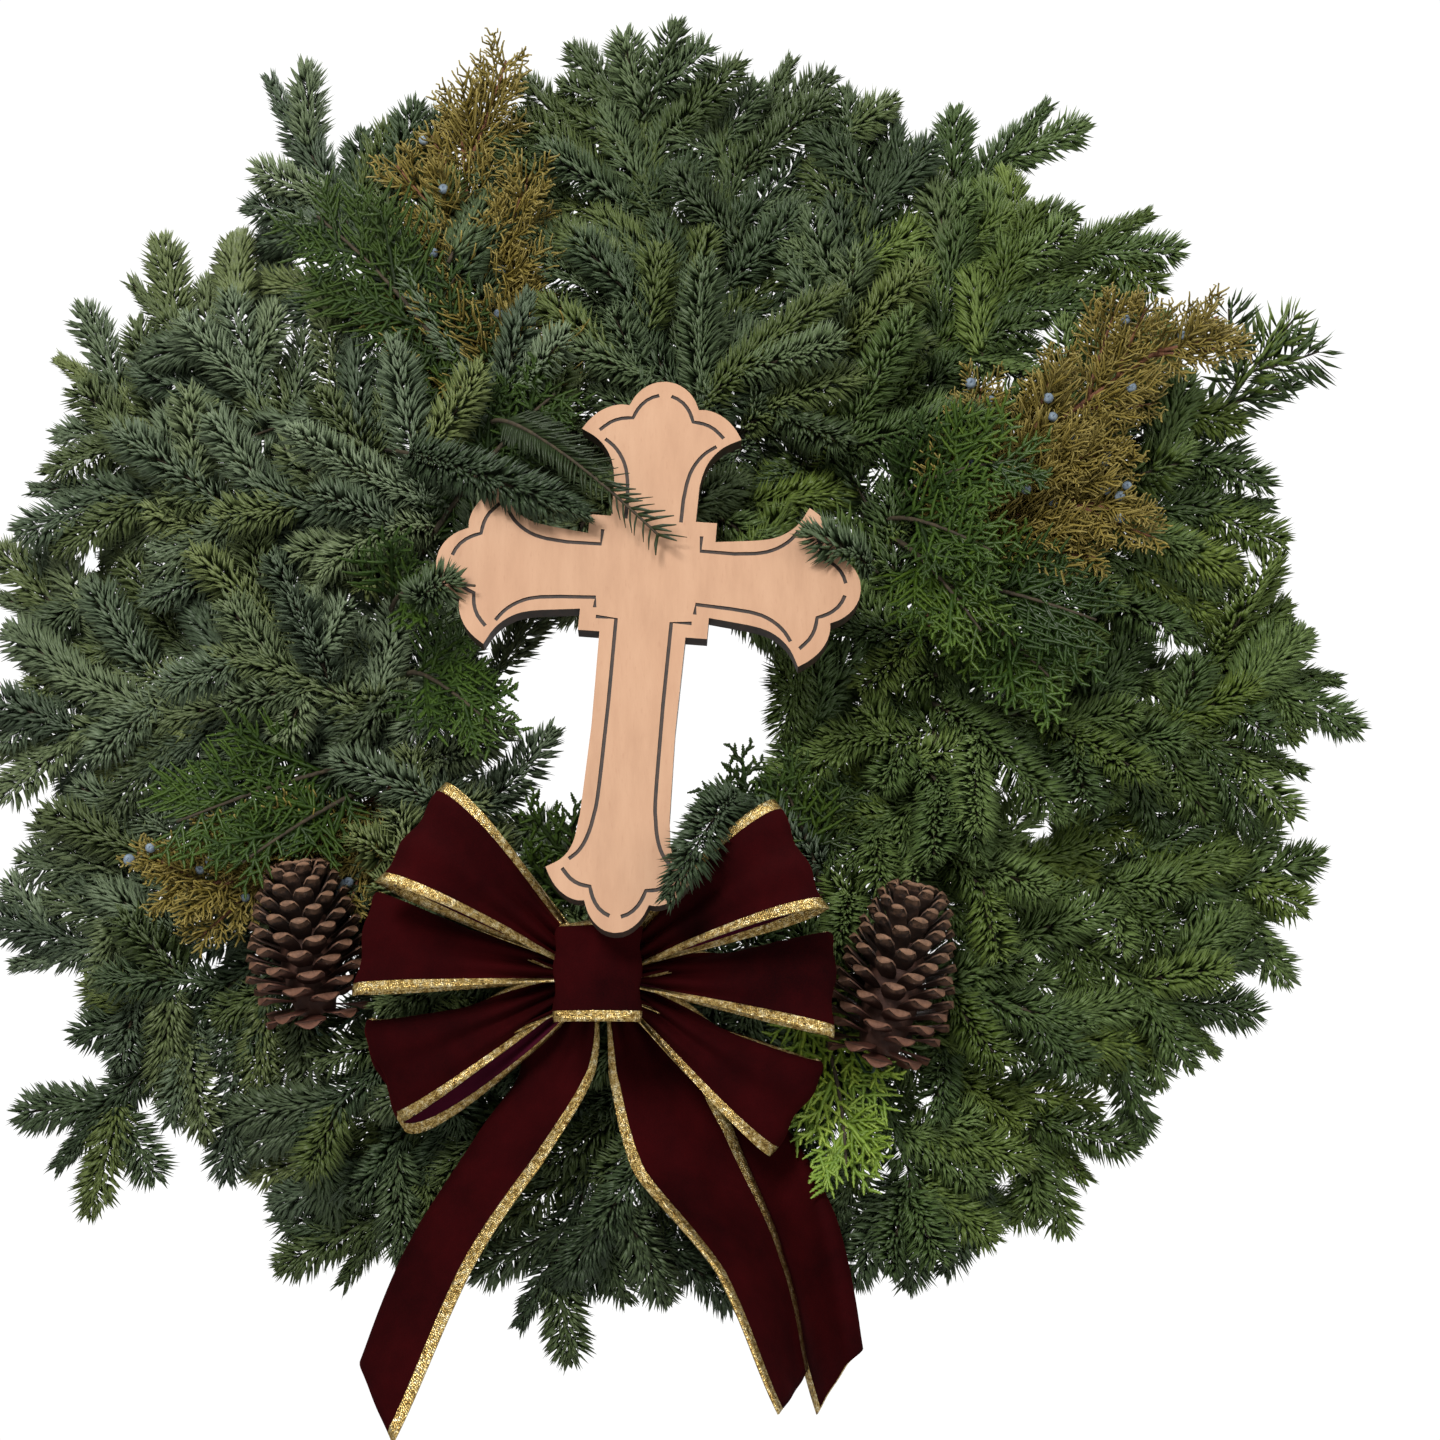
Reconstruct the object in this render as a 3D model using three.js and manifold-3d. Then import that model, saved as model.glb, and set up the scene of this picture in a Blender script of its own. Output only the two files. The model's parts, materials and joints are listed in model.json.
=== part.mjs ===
// Fresh evergreen wreath with a wooden cross, a velvet ribbon bow and two cones.
// Millimetres, +Z up, the front faces -Y. The wreath hangs on its wire ring from the
// origin, which is the underside of the outer rail at the top of the ring.
import * as THREE from 'three';
import { mergeVertices } from 'three/addons/utils/BufferGeometryUtils.js';
import Module from 'manifold-3d';

const wasm = await Module();
wasm.setup();

// ---------------------------------------------------------------- driving dimensions
const RAIL_IN = 143;          // inner rail of the wire ring, radius
const RAIL_OUT = 161;         // outer rail, radius
const WIRE = 1.8;             // rail wire radius
const RAIL_Y = 6;             // depth of the rails while modelling, before the last shift
const CLAMP_R = 152;          // radius on which the clamps sit
const CLAMPS = 12;            // clamps round the ring
const PRONG = 1.3;            // clamp prong radius
const STEM = 2.6;             // bough stem radius at its clamp
const TWIG = 1.5;             // side twig radius at its foot
const LAYER_Y = [3.0, -1.25, -5.5, -9.9];    // depth of the stems stacked in a clamp
const SEAT = 0.35;            // clearance between pieces that touch
const NEEDLE = 20;            // fir needle length
const BRANCH_FOOT = 5;        // length of stem that a side twig grows from
const NEEDLE_LEAN = 42;       // needle angle forward of square to its twig, degrees
const BERRY = 3.2;            // juniper berry radius
const BERRIES = 4;            // berries fused in a cluster
const RIBBON = 63.5;          // ribbon width
const RIBBON_T = 1.3;         // ribbon thickness
const CROSS_T = 9.5;          // cross plate thickness
const CROSS_LEAN = 10.4;      // how far the cross leans back at its top, degrees
const CROSS_TILT = 4.5;       // its turn towards the right in its own plane, degrees
const CROSS_AT = [-4, -97.4, 40];    // where its arms cross
const GROOVE_W = 1.6;         // engraved line width
const GROOVE_D = 0.8;         // engraved line depth
const PINCH = [-28, -80, -162];   // centre of the bow, where the ribbon is pinched
const BIND = 0.9;             // binding wire radius
const BIND_R = 151.5;         // radius at which a binding wire passes between the rails
const CONE_R = 31;            // cone radius at its widest
const SCALES = 24;            // scales of a cone
const HANG = [0, RAIL_Y, RAIL_OUT - WIRE];   // the point that becomes the origin

const V = (x, y, z) => new THREE.Vector3(x, y, z);
const rad = (d) => (d * Math.PI) / 180;
const lerp = (a, b, t) => a + (b - a) * t;
const smooth = (t) => { const u = Math.min(1, Math.max(0, t)); return u * u * (3 - 2 * u); };

// The same draw for the same seed, so that a bough always grows alike.
function seeded(seed) {
  let s = seed >>> 0;
  return () => {
    s = (s + 0x6d2b79f5) >>> 0;
    let t = s;
    t = Math.imul(t ^ (t >>> 15), t | 1);
    t ^= t + Math.imul(t ^ (t >>> 7), t | 61);
    return ((t ^ (t >>> 14)) >>> 0) / 4294967296;
  };
}

// ---------------------------------------------------------------- closed solids
function solid(points, faces) {
  let six = 0;
  for (const [a, b, c] of faces) six += points[a].dot(points[b].clone().cross(points[c]));
  const flat = new Float32Array(points.length * 3);
  points.forEach((p, i) => flat.set([p.x, p.y, p.z], i * 3));
  const tri = new Uint32Array(faces.length * 3);
  faces.forEach((f, i) => tri.set(six < 0 ? [f[0], f[2], f[1]] : f, i * 3));
  return new wasm.Manifold(new wasm.Mesh({ numProp: 3, vertProperties: flat, triVerts: tri }));
}

function fromGeometry(geometry) {
  geometry.deleteAttribute('normal');
  geometry.deleteAttribute('uv');
  const g = mergeVertices(geometry, 1e-4);
  const p = g.attributes.position;
  const points = Array.from({ length: p.count }, (_, i) => V(p.getX(i), p.getY(i), p.getZ(i)));
  const faces = [];
  for (let i = 0; i < g.index.count; i += 3) {
    const f = [g.index.getX(i), g.index.getX(i + 1), g.index.getX(i + 2)];
    if (new Set(f).size === 3) faces.push(f);
  }
  return solid(points, faces);
}

// One body out of several that overlap; crumbs and sealed pockets left by the joining go.
const fuse = (list) => list.reduce((a, b) => a.add(b));
function join(list) {
  const all = fuse(list);
  const bodies = all.decompose();
  return bodies.length === 1 ? all : bodies.sort((a, b) => b.volume() - a.volume())[0];
}

// Rings of points joined into one closed skin. A ring of one point is a tip.
// raise(i, j, quad) is asked about each four-sided face between ring i and ring i+1. It
// may return a point, to which the face is drawn out as a needle or a leaflet, or a
// branch { path, radius, raise }, which then grows from that face.
function loft(rings, raise = () => null) {
  const points = [];
  const faces = [];
  const add = (p) => points.push(p) - 1;
  function skin(base, next, ask) {
    const at = [base, ...next.map((ring) => ring.map(add))];
    for (let i = 0; i + 1 < at.length; i += 1) {
      const a = at[i];
      const b = at[i + 1];
      const n = a.length;
      if (b.length === 1) { for (let j = 0; j < n; j += 1) faces.push([a[j], a[(j + 1) % n], b[0]]); continue; }
      if (b.length < n) {
        faces.push([a[0], a[1], b[0]], [a[1], b[1], b[0]], [a[1], a[2], b[1]], [a[2], b[2], b[1]],
          [a[2], a[3], b[2]], [a[3], b[0], b[2]], [a[3], a[0], b[0]]);
        continue;
      }
      for (let j = 0; j < n; j += 1) {
        const k = (j + 1) % n;
        const quad = [a[j], a[k], b[k], b[j]];
        const grown = ask(i, j, quad.map((q) => points[q]));
        if (!grown) faces.push([a[j], a[k], b[k]], [a[j], b[k], b[j]]);
        else if (grown.isVector3) {
          const t = add(grown);
          for (let m = 0; m < 4; m += 1) faces.push([quad[m], quad[(m + 1) % 4], t]);
        } else skin(quad, branchRings(quad.map((q) => points[q]), grown), (r, c, q) => (r ? grown.raise(r - 1, c, q) : null));
      }
    }
    return at[at.length - 1];
  }
  const first = rings[0].map(add);
  const n = first.length;
  const end = skin(first, rings.slice(1), raise);
  for (let j = 1; j + 1 < n; j += 1) faces.push([first[0], first[j + 1], first[j]]);
  for (let j = 1; j + 1 < end.length; j += 1) faces.push([end[0], end[j], end[j + 1]]);
  return solid(points, faces);
}
// Three-sided rings of a branch, turned to meet the four corners that it grows from.
function branchRings(quad, { path, radius, twist = 0 }) {
  const centre = V(0, 0, 0);
  quad.forEach((q) => centre.addScaledVector(q, 0.25));
  const list = frames(path, quad[0].clone().sub(centre));
  const sense = Math.sign(quad[1].clone().sub(quad[0]).cross(quad[2].clone().sub(quad[1])).dot(list[0].t));
  return list.map((f, i) => {
    if (i === list.length - 1) return [f.p.clone()];
    return [0, 1, 2].map((m) => {
      const a = sense * ((2 * Math.PI * m) / 3 + twist * i);
      return f.p.clone().addScaledVector(f.s, Math.cos(a) * radius(i)).addScaledVector(f.n, Math.sin(a) * radius(i));
    });
  });
}

// Directions along a path, and a square frame carried along it from a first side vector.
function frames(path, side) {
  const out = [];
  let s = side.clone();
  path.forEach((p, i) => {
    const t = path[Math.min(i + 1, path.length - 1)].clone().sub(path[Math.max(i - 1, 0)]).normalize();
    s = s.clone().addScaledVector(t, -s.dot(t)).normalize();
    out.push({ p, t, s, n: t.clone().cross(s) });
  });
  return out;
}

// A rod of any path: radius(i) at each point, sides round it, turned by twist a step.
function rodRings(path, radius, { sides = 3, twist = 0, side = V(0, -1, 0), phase = 0.5, tip = false } = {}) {
  return frames(path, side).map((f, i) => {
    if (tip && i === path.length - 1) return [f.p.clone()];
    return Array.from({ length: sides }, (_, j) => {
      const a = (2 * Math.PI * (j + phase)) / sides + twist * i;
      return f.p.clone().addScaledVector(f.s, Math.cos(a) * radius(i))
        .addScaledVector(f.n, Math.sin(a) * radius(i));
    });
  });
}
const rod = (path, radius, options) => loft(rodRings(path, radius, options));

// ---------------------------------------------------------------- what is taken
// Space already filled, as small balls in a grid, each with its twig and its node.
const CELL = 8;
const taken = new Map();
const cellOf = (v) => Math.floor(v / CELL);
function take(p, r, twig, node) {
  const key = `${cellOf(p.x)},${cellOf(p.y)},${cellOf(p.z)}`;
  if (!taken.has(key)) taken.set(key, []);
  taken.get(key).push([p.x, p.y, p.z, r, twig, node]);
}
// Whether a ball comes closer than a gap to another node's, or to another twig's in its own.
function meets(p, r, twig, node, gapOther, gapOwn) {
  const [i, j, k] = [cellOf(p.x), cellOf(p.y), cellOf(p.z)];
  for (let a = i - 1; a <= i + 1; a += 1) {
    for (let b = j - 1; b <= j + 1; b += 1) {
      for (let c = k - 1; c <= k + 1; c += 1) {
        for (const q of taken.get(`${a},${b},${c}`) ?? []) {
          if (q[4] === twig) continue;
          const gap = q[5] === node ? gapOwn : gapOther;
          if (gap === null) continue;
          const d = r + q[3] + gap;
          if ((p.x - q[0]) ** 2 + (p.y - q[1]) ** 2 + (p.z - q[2]) ** 2 < d * d) return true;
        }
      }
    }
  }
  return false;
}
const spaced = (a, b, step) => {
  const n = Math.max(1, Math.ceil(a.distanceTo(b) / step));
  return Array.from({ length: n + 1 }, (_, i) => a.clone().lerp(b, i / n));
};
// Marks the skin of a made piece as taken, with points spread over each of its faces.
function takeSolid(body, node, step = 3.2) {
  const m = body.getMesh();
  const at = (q) => V(m.vertProperties[q * 3], m.vertProperties[q * 3 + 1], m.vertProperties[q * 3 + 2]);
  for (let f = 0; f < m.triVerts.length; f += 3) {
    const [a, b, c] = [at(m.triVerts[f]), at(m.triVerts[f + 1]), at(m.triVerts[f + 2])];
    const n = Math.max(1, Math.ceil(Math.max(a.distanceTo(b), b.distanceTo(c), a.distanceTo(c)) / step));
    for (let i = 0; i <= n; i += 1) {
      for (let j = 0; j <= n - i; j += 1) {
        const p = a.clone().multiplyScalar(i / n).addScaledVector(b, j / n).addScaledVector(c, (n - i - j) / n);
        take(p, 1.1, -1, node);
      }
    }
  }
}

// ---------------------------------------------------------------- the pieces so far
const pieces = [];
function keep(name, body, colour, roughness, metalness = 0) {
  pieces.push({ name, body, colour, roughness, metalness });
}
function fixedPiece(name, body, ...look) {
  takeSolid(body, name);
  keep(name, body, ...look);
}

const polar = (phi, r, y) => V(r * Math.sin(rad(phi)), y, r * Math.cos(rad(phi)));
const clampAngle = (k) => 15 + (360 / CLAMPS) * k;

// ---------------------------------------------------------------- boughs, by hand
// kind, clamp, layer, tip x y z, side twigs, length of the lowest one, +1 clockwise or -1,
// twigs that reach in towards the hole, colour step
const BOUGHS = [
  ['fir', 0, 0, 73, -10, 363, 5, 84, -1, 0, 1], ['fir', 1, 0, 219, -8, 337, 5, 84, -1, 0, 2],
  ['fir', 2, 0, 353, -8, 172, 4, 84, -1, 0, 2], ['fir', 3, 0, 370, -8, 4, 5, 80, -1, 0, 2],
  ['fir', 4, 0, 330, -10, -125, 4, 84, -1, 0, 2], ['fir', 5, 0, 226, -10, -265, 5, 80, -1, 0, 2],
  ['fir', 6, 0, 22, -12, -313, 4, 66, -1, 0, 1], ['fir', 7, 0, -164, -12, -318, 5, 80, -1, 0, 1],
  ['fir', 8, 0, -344, -10, -152, 5, 84, -1, 0, 0], ['fir', 9, 0, -361, -10, 49, 5, 80, -1, 0, 0],
  ['fir', 10, 0, -335, -10, 185, 5, 84, -1, 0, 0], ['fir', 11, 0, -23, -10, 372, 5, 80, 1, 0, 1],
  ['fir', 0, 1, 125, -30, 302, 4, 66, 1, 2, 1], ['fir', 1, 1, 270, -34, 262, 5, 74, -1, 2, 2],
  ['fir', 2, 1, 332, -30, 97, 5, 74, -1, 2, 2], ['fir', 3, 1, 344, -30, -50, 5, 74, -1, 2, 2],
  ['fir', 4, 1, 292, -28, -198, 4, 74, -1, 2, 2], ['fir', 5, 1, 142, -28, -295, 4, 70, -1, 2, 2],
  ['fir', 6, 1, -70, -28, -338, 4, 70, -1, 1, 1], ['fir', 7, 1, -313, -26, -258, 5, 84, 1, 1, 1],
  ['fir', 8, 1, -351, -30, -41, 5, 74, 1, 2, 0], ['fir', 9, 1, -340, -34, 105, 5, 74, 1, 2, 0],
  ['fir', 10, 1, -292, -30, 223, 5, 74, -1, 0, 0], ['juniper', 11, 2, -112, -38, 325, 5, 92, -1, 0, 0],
  ['fir', 0, 2, -20, -54, 226, 4, 56, -1, 2, 1], ['cedar', 1, 2, 208, -56, -4, 7, 56, 1, 0, 1],
  ['juniper', 2, 2, 250, -55, 93, 5, 74, -1, 0, 1], ['fir', 3, 2, 180, -50, -124, 4, 60, 1, 2, 2],
  ['fir', 4, 2, 226, -46, -186, 4, 60, 1, 1, 2], ['fir', 5, 2, -4, -38, -278, 4, 56, 1, 0, 1],
  ['fir', 7, 2, -185, -44, -240, 4, 64, -1, 1, 1], ['juniper', 8, 2, -258, -50, -116, 5, 66, -1, 0, 0],
  ['cedar', 9, 2, -56, -62, 150, 7, 44, 1, 0, 0], ['fir', 10, 2, -231, -52, 111, 5, 64, -1, 2, 0],
  ['fir', 11, 3, -146, -50, 246, 4, 62, -1, 2, 0], ['fir', 8, 3, -236, -56, 8, 5, 62, 1, 2, 0],
  ['juniper', 2, 3, 300, -72, 190, 5, 66, -1, 0, 1], ['cedar', 10, 3, -186, -64, 250, 7, 52, 1, 0, 0],
  ['fir', 11, 1, -221, -22, 346, 5, 66, -1, 0, 0], ['cedar', 5, 3, 98, -50, -258, 6, 46, -1, 0, 2],
];
const GREENS = { fir: [0x5f7565, 0x4c6549, 0x3f5a35], cedar: [0x2f4a2a, 0x39582c, 0x6f8a2e], juniper: [0x78703a, 0x78703a] };

// ---------------------------------------------------------------- wire ring
{
  const rail = (r) => fromGeometry(new THREE.TorusGeometry(r, WIRE, 4, 24).rotateX(Math.PI / 2).translate(0, RAIL_Y, 0));
  const parts = [rail(RAIL_IN), rail(RAIL_OUT)];
  for (let k = 0; k < CLAMPS; k += 1) {
    const held = Math.max(...BOUGHS.filter((b) => b[1] === k).map((b) => b[2]));
    const front = LAYER_Y[held] - STEM - SEAT - PRONG;
    const e = polar(clampAngle(k), 1, 0);
    const at = (r, y) => e.clone().multiplyScalar(CLAMP_R + r).setY(y);
    const half = (RAIL_OUT - RAIL_IN) / 2;
    const path = [at(-2, front), at(-6.2, front + 3), at(1.4 - half, RAIL_Y), at(half - 1.4, RAIL_Y), at(6.2, front + 3), at(2, front)];
    const t = V(e.z, 0, -e.x);
    parts.push(rod(path, () => PRONG, { sides: 3, side: t }));
  }
  const whole = fuse(parts);
  if (whole.decompose().length !== 1) throw new Error('ring is not one body');
  fixedPiece('wire_ring_with_clamps', whole, 0x3b4a3c, 0.45, 0.7);
}

// ---------------------------------------------------------------- wooden cross
// Half of the outline, in millimetres from the crossing, top point first. A third value
// makes the stretch to that point bow outwards (+) or inwards (-) by that much.
const CROSS_HALF = [
  [0, 112], [19.5, 98, 3.5], [46, 86, -2.2], [24.6, 46, -4.5], [23.3, 32], [35, 32], [35, 21.3],
  [50, 22.4, -0.6], [84, 43.5, -5], [98, 21, -2.2], [114.5, 0, 3.5], [98, -21, 3.5], [84, -43.5, -2.2],
  [50, -22.4, -5], [35, -21.3, -0.6], [35, -33], [23.3, -33], [22.6, -84], [24.4, -138, -0.8],
  [45, -160, -3], [21, -176, -2.2], [0, -193, 3.5],
];
function crossOutline() {
  const right = [];
  CROSS_HALF.forEach(([x, y, bow = 0], i) => {
    if (i && bow) {
      const [px, py] = CROSS_HALF[i - 1];
      const l = Math.hypot(x - px, y - py);
      for (const t of Math.abs(bow) < 3 ? [0.5] : [1 / 3, 2 / 3]) {
        const o = bow * (t === 0.5 ? 1 : 8 / 9);
        right.push([lerp(px, x, t) - (o * (py - y)) / l * -1, lerp(py, y, t) + (o * (x - px)) / l]);
      }
    }
    right.push([x, y]);
  });
  const left = right.slice(1, -1).reverse().map(([x, y]) => [-x, y]);
  return right.concat(left);
}
// Engraved lines on the right half, each [x, y] list; they are mirrored to the left.
const GROOVES = [
  [[4, 102], [15, 92], [31, 81.5]], [[35.5, 78], [22, 64], [16.5, 44], [16, 24]],
  [[28, 14], [50, 14.6], [68, 21], [81, 32]], [[84, 33], [92, 18], [105, 0]],
  [[105, -3], [92, -19], [84, -33]], [[79, -31], [66, -21.5], [50, -14.8], [28, -13.8], [28, -25]],
  [[15.5, -32], [15, -90], [16.5, -138]], [[34.5, -159], [20, -167], [2, -183]],
];
{
  const shape = new THREE.Shape(crossOutline().map(([x, y]) => new THREE.Vector2(x, y)));
  let plate = fromGeometry(new THREE.ExtrudeGeometry(shape, { depth: CROSS_T, bevelEnabled: false }).translate(0, 0, -CROSS_T / 2));
  for (const side of [1, -1]) {
    for (const line of GROOVES) {
      const points = line.map(([x, y]) => [x * side, y]);
      const left = [];
      const right = [];
      points.forEach(([x, y], i) => {
        const a = points[Math.max(i - 1, 0)];
        const b = points[Math.min(i + 1, points.length - 1)];
        const l = Math.hypot(b[0] - a[0], b[1] - a[1]);
        const [nx, ny] = [(-(b[1] - a[1]) / l) * (GROOVE_W / 2), ((b[0] - a[0]) / l) * (GROOVE_W / 2)];
        left.push(new THREE.Vector2(x + nx, y + ny));
        right.unshift(new THREE.Vector2(x - nx, y - ny));
      });
      const cut = new THREE.ExtrudeGeometry(new THREE.Shape(left.concat(right)), { depth: 4, bevelEnabled: false })
        .translate(0, 0, CROSS_T / 2 - GROOVE_D);
      plate = plate.subtract(fromGeometry(cut));
    }
  }
  const pose = new THREE.Matrix4().makeTranslation(...CROSS_AT)
    .multiply(new THREE.Matrix4().makeRotationX(rad(-CROSS_LEAN)))
    .multiply(new THREE.Matrix4().makeRotationY(rad(CROSS_TILT)))
    .multiply(new THREE.Matrix4().makeRotationX(rad(90)));
  plate = plate.transform([...pose.elements]);
  fixedPiece('wooden_cross', plate, 0xdeb08c, 0.7);
}

// ---------------------------------------------------------------- ribbon bow
// A strip from stations: centre, direction across, direction of the skin, half width.
function strip(stations) {
  return loft(stations.map(({ c, w, n, half }) => {
    const a = w.clone().normalize().multiplyScalar(half);
    const b = n.clone().normalize().multiplyScalar(RIBBON_T / 2);
    return [c.clone().add(a).add(b), c.clone().sub(a).add(b), c.clone().sub(a).sub(b), c.clone().add(a).sub(b)];
  }));
}
const pinch = V(...PINCH);
// A loop: out along one direction and back behind it, rolled about that direction.
function loopStrip({ out, length, puff, roll, y, forward }) {
  const e1 = V(Math.cos(rad(out)), -Math.tan(rad(forward)), Math.sin(rad(out))).normalize();
  let e2 = V(0, -1, 0);
  e2.addScaledVector(e1, -e2.dot(e1)).normalize();
  let w = e1.clone().cross(e2);
  const r = new THREE.Quaternion().setFromAxisAngle(e1, rad(roll));
  const start = pinch.clone().setY(y);
  const N = 12;
  const path = [];
  for (let i = 0; i <= N; i += 1) {
    const t = i / N;
    const s = Math.sin(Math.PI * t);
    const lift = Math.sin(2 * Math.PI * t) * puff * (0.35 + 0.65 * smooth(s * 1.1)) + 0.8 * Math.cos(Math.PI * t);
    const k = smooth((s * length - 12) / 45);
    const turn = new THREE.Quaternion().slerp(r, k);
    const e2r = e2.clone().applyQuaternion(turn);
    path.push({
      c: start.clone().addScaledVector(e1, s * length + 1.5).addScaledVector(e2r, lift),
      w: w.clone().applyQuaternion(turn),
      half: Math.min(RIBBON / 2, 2.8 + s * length * 0.238),
    });
  }
  path.forEach((q, i) => {
    const t = path[Math.min(i + 1, N)].c.clone().sub(path[Math.max(i - 1, 0)].c);
    q.n = t.cross(q.w).normalize();
  });
  return strip(path);
}
const PAIRS = [
  ['bow_loops_upper', -85.5, [{ out: 144.2, length: 119, puff: 14, roll: 14, forward: 20 }, { out: 28.8, length: 121, puff: 14, roll: -14, forward: 20 }]],
  ['bow_loops_middle', -81, [{ out: 171.5, length: 119, puff: 9, roll: 6, forward: 9.2 }, { out: -1.5, length: 118, puff: 9, roll: -6, forward: 9.2 }]],
  ['bow_loops_lower', -76.9, [{ out: 202.2, length: 120, puff: 11, roll: -14, forward: -2 }, { out: -32.4, length: 121, puff: 11, roll: 14, forward: -2 }]],
];
const VELVET = 0x3a0a10;
const block = (w, d, h, c) => fromGeometry(new THREE.BoxGeometry(w, d, h).translate(c.x, c.y, c.z));
for (const [name, y, loops] of PAIRS) {
  const body = join([block(9, 3.2, 15, pinch.clone().setY(y)), ...loops.map((l) => loopStrip({ ...l, y }))]);
  fixedPiece(name, body, VELVET, 0.85);
}
// The small loop over the pinch: a flat tube, its ribbon running across.
{
  const n = 12;
  const mid = pinch.clone().setY(-101.5);
  const path = [];
  for (let i = 0; i <= n; i += 1) {
    const a = (2 * Math.PI * i) / n;
    path.push([mid.x + 34 * Math.sin(a) * Math.abs(Math.sin(a / 2)) ** 1.6, mid.y + 12 * Math.cos(a)]);
  }
  const ring = (k, hz) => path.slice(0, n).map(([x, y], i) => {
    const a = (2 * Math.PI * i) / n;
    return V(x + k * Math.sin(a), y + k * Math.cos(a), mid.z + hz * lerp(0.3, 1, smooth((1 - Math.cos(a)) / 1.3)));
  });
  const points = [0, -RIBBON_T].flatMap((k) => [-26, 27].flatMap((hz) => ring(k, hz)));
  const faces = [];
  for (let i = 0; i < n; i += 1) {
    const j = (i + 1) % n;
    const quad = (a, b, c, d) => faces.push([a, b, c], [a, c, d]);
    quad(i, j, n + j, n + i);
    quad(2 * n + j, 2 * n + i, 3 * n + i, 3 * n + j);
    quad(n + i, n + j, 3 * n + j, 3 * n + i);
    quad(j, i, 2 * n + i, 2 * n + j);
  }
  fixedPiece('bow_centre_loop', solid(points, faces), VELVET, 0.85);
}
// Tails: centre line points, half width, and the angle of the ribbon's face about vertical.
function tailStrip(points, cut) {
  const curve = new THREE.CatmullRomCurve3(points.map((p) => V(p[0], p[1], p[2])));
  const N = 9;
  const stations = [];
  for (let i = 0; i <= N; i += 1) {
    const t = i / N;
    const k = t * (points.length - 1);
    const a = points[Math.floor(Math.min(k, points.length - 1))];
    const b = points[Math.min(points.length - 1, Math.floor(k) + 1)];
    const f = k - Math.floor(k);
    const face = rad(lerp(a[4], b[4], f));
    const c = curve.getPoint(t);
    const d = curve.getTangent(t);
    const w = V(Math.cos(face), Math.sin(face), 0);
    w.addScaledVector(d, -w.dot(d)).normalize();
    stations.push({ c, w, n: d.clone().cross(w), half: lerp(a[3], b[3], f), d });
  }
  const end = stations[N];
  const rings = stations.map(({ c, w, n, half }, i) => {
    const A = w.clone().multiplyScalar(half);
    const B = n.clone().normalize().multiplyScalar(RIBBON_T / 2);
    const ring = [c.clone().add(A).add(B), c.clone().sub(A).add(B), c.clone().sub(A).sub(B), c.clone().add(A).sub(B)];
    if (i === N) ring.forEach((p, j) => p.addScaledVector(end.d, (j === 0 || j === 3 ? cut : -cut)));
    return ring;
  });
  return loft(rings);
}
{
  const root = (y, dx) => [pinch.x + dx, y, pinch.z - 4];
  const left = tailStrip([[...root(-72, -6), 3.5, 0], [-50, -59, -200, 22, 4], [-76, -57, -244, 30, 8], [-110, -64, -300, RIBBON / 2, 8], [-141, -71, -362, RIBBON / 2, 6]], 15);
  const middle = tailStrip([[...root(-72, 6), 3.5, 0], [-4, -58, -204, 22, 4], [14, -57, -250, 29, 12], [36, -68, -306, RIBBON / 2, 34], [52, -76, -362, RIBBON / 2, 44]], -9);
  fixedPiece('bow_tails_long', join([block(18, 3, 9, V(pinch.x, -72, pinch.z - 2)), left, middle]), VELVET, 0.85);
  const right = tailStrip([[...root(-68.2, 6), 3.5, 0], [14, -49, -204, 18, -4], [50, -42, -238, 24, -8], [76, -46, -290, 28, -22], [80, -54, -356, 24, -30]], 14);
  fixedPiece('bow_tail_right', join([block(18, 3, 8, V(pinch.x, -68.2, pinch.z - 2)), right]), VELVET, 0.85);
}

// ---------------------------------------------------------------- binding wires
const wire = (name, points, colour = 0x2f4a2f) =>
  fixedPiece(name, rod(points.map((p) => V(...p)), () => BIND, { sides: 4, side: V(0.3, 0.2, 0.9) }), colour, 0.5, 0.6);
const BEHIND = RAIL_Y + WIRE + BIND + SEAT;
// From a point in front of the ring straight back beside a rail and round behind it.
const hook = (phi, r, to) => [polar(phi, r, 0), polar(phi, r, BEHIND), polar(phi, to, BEHIND)].map((p) => p.toArray());
wire('bow_binding_wire', [[-28, -65.4, -151.4], [-28, -98, -151.4], [-28, -98, -172.6], [-28, -65.4, -172.6], [-50, -34, -150], ...hook(205.5, BIND_R, 167)]);
wire('cross_binding_wire_top', [[-3, -74.6, 133], ...hook(-1.2, 138.2, 147)]);
wire('cross_binding_wire_low', [[-16, -119.9, -112], ...hook(186.6, 138, 147)]);

// ---------------------------------------------------------------- cones
const GOLDEN = 137.508;
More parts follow.
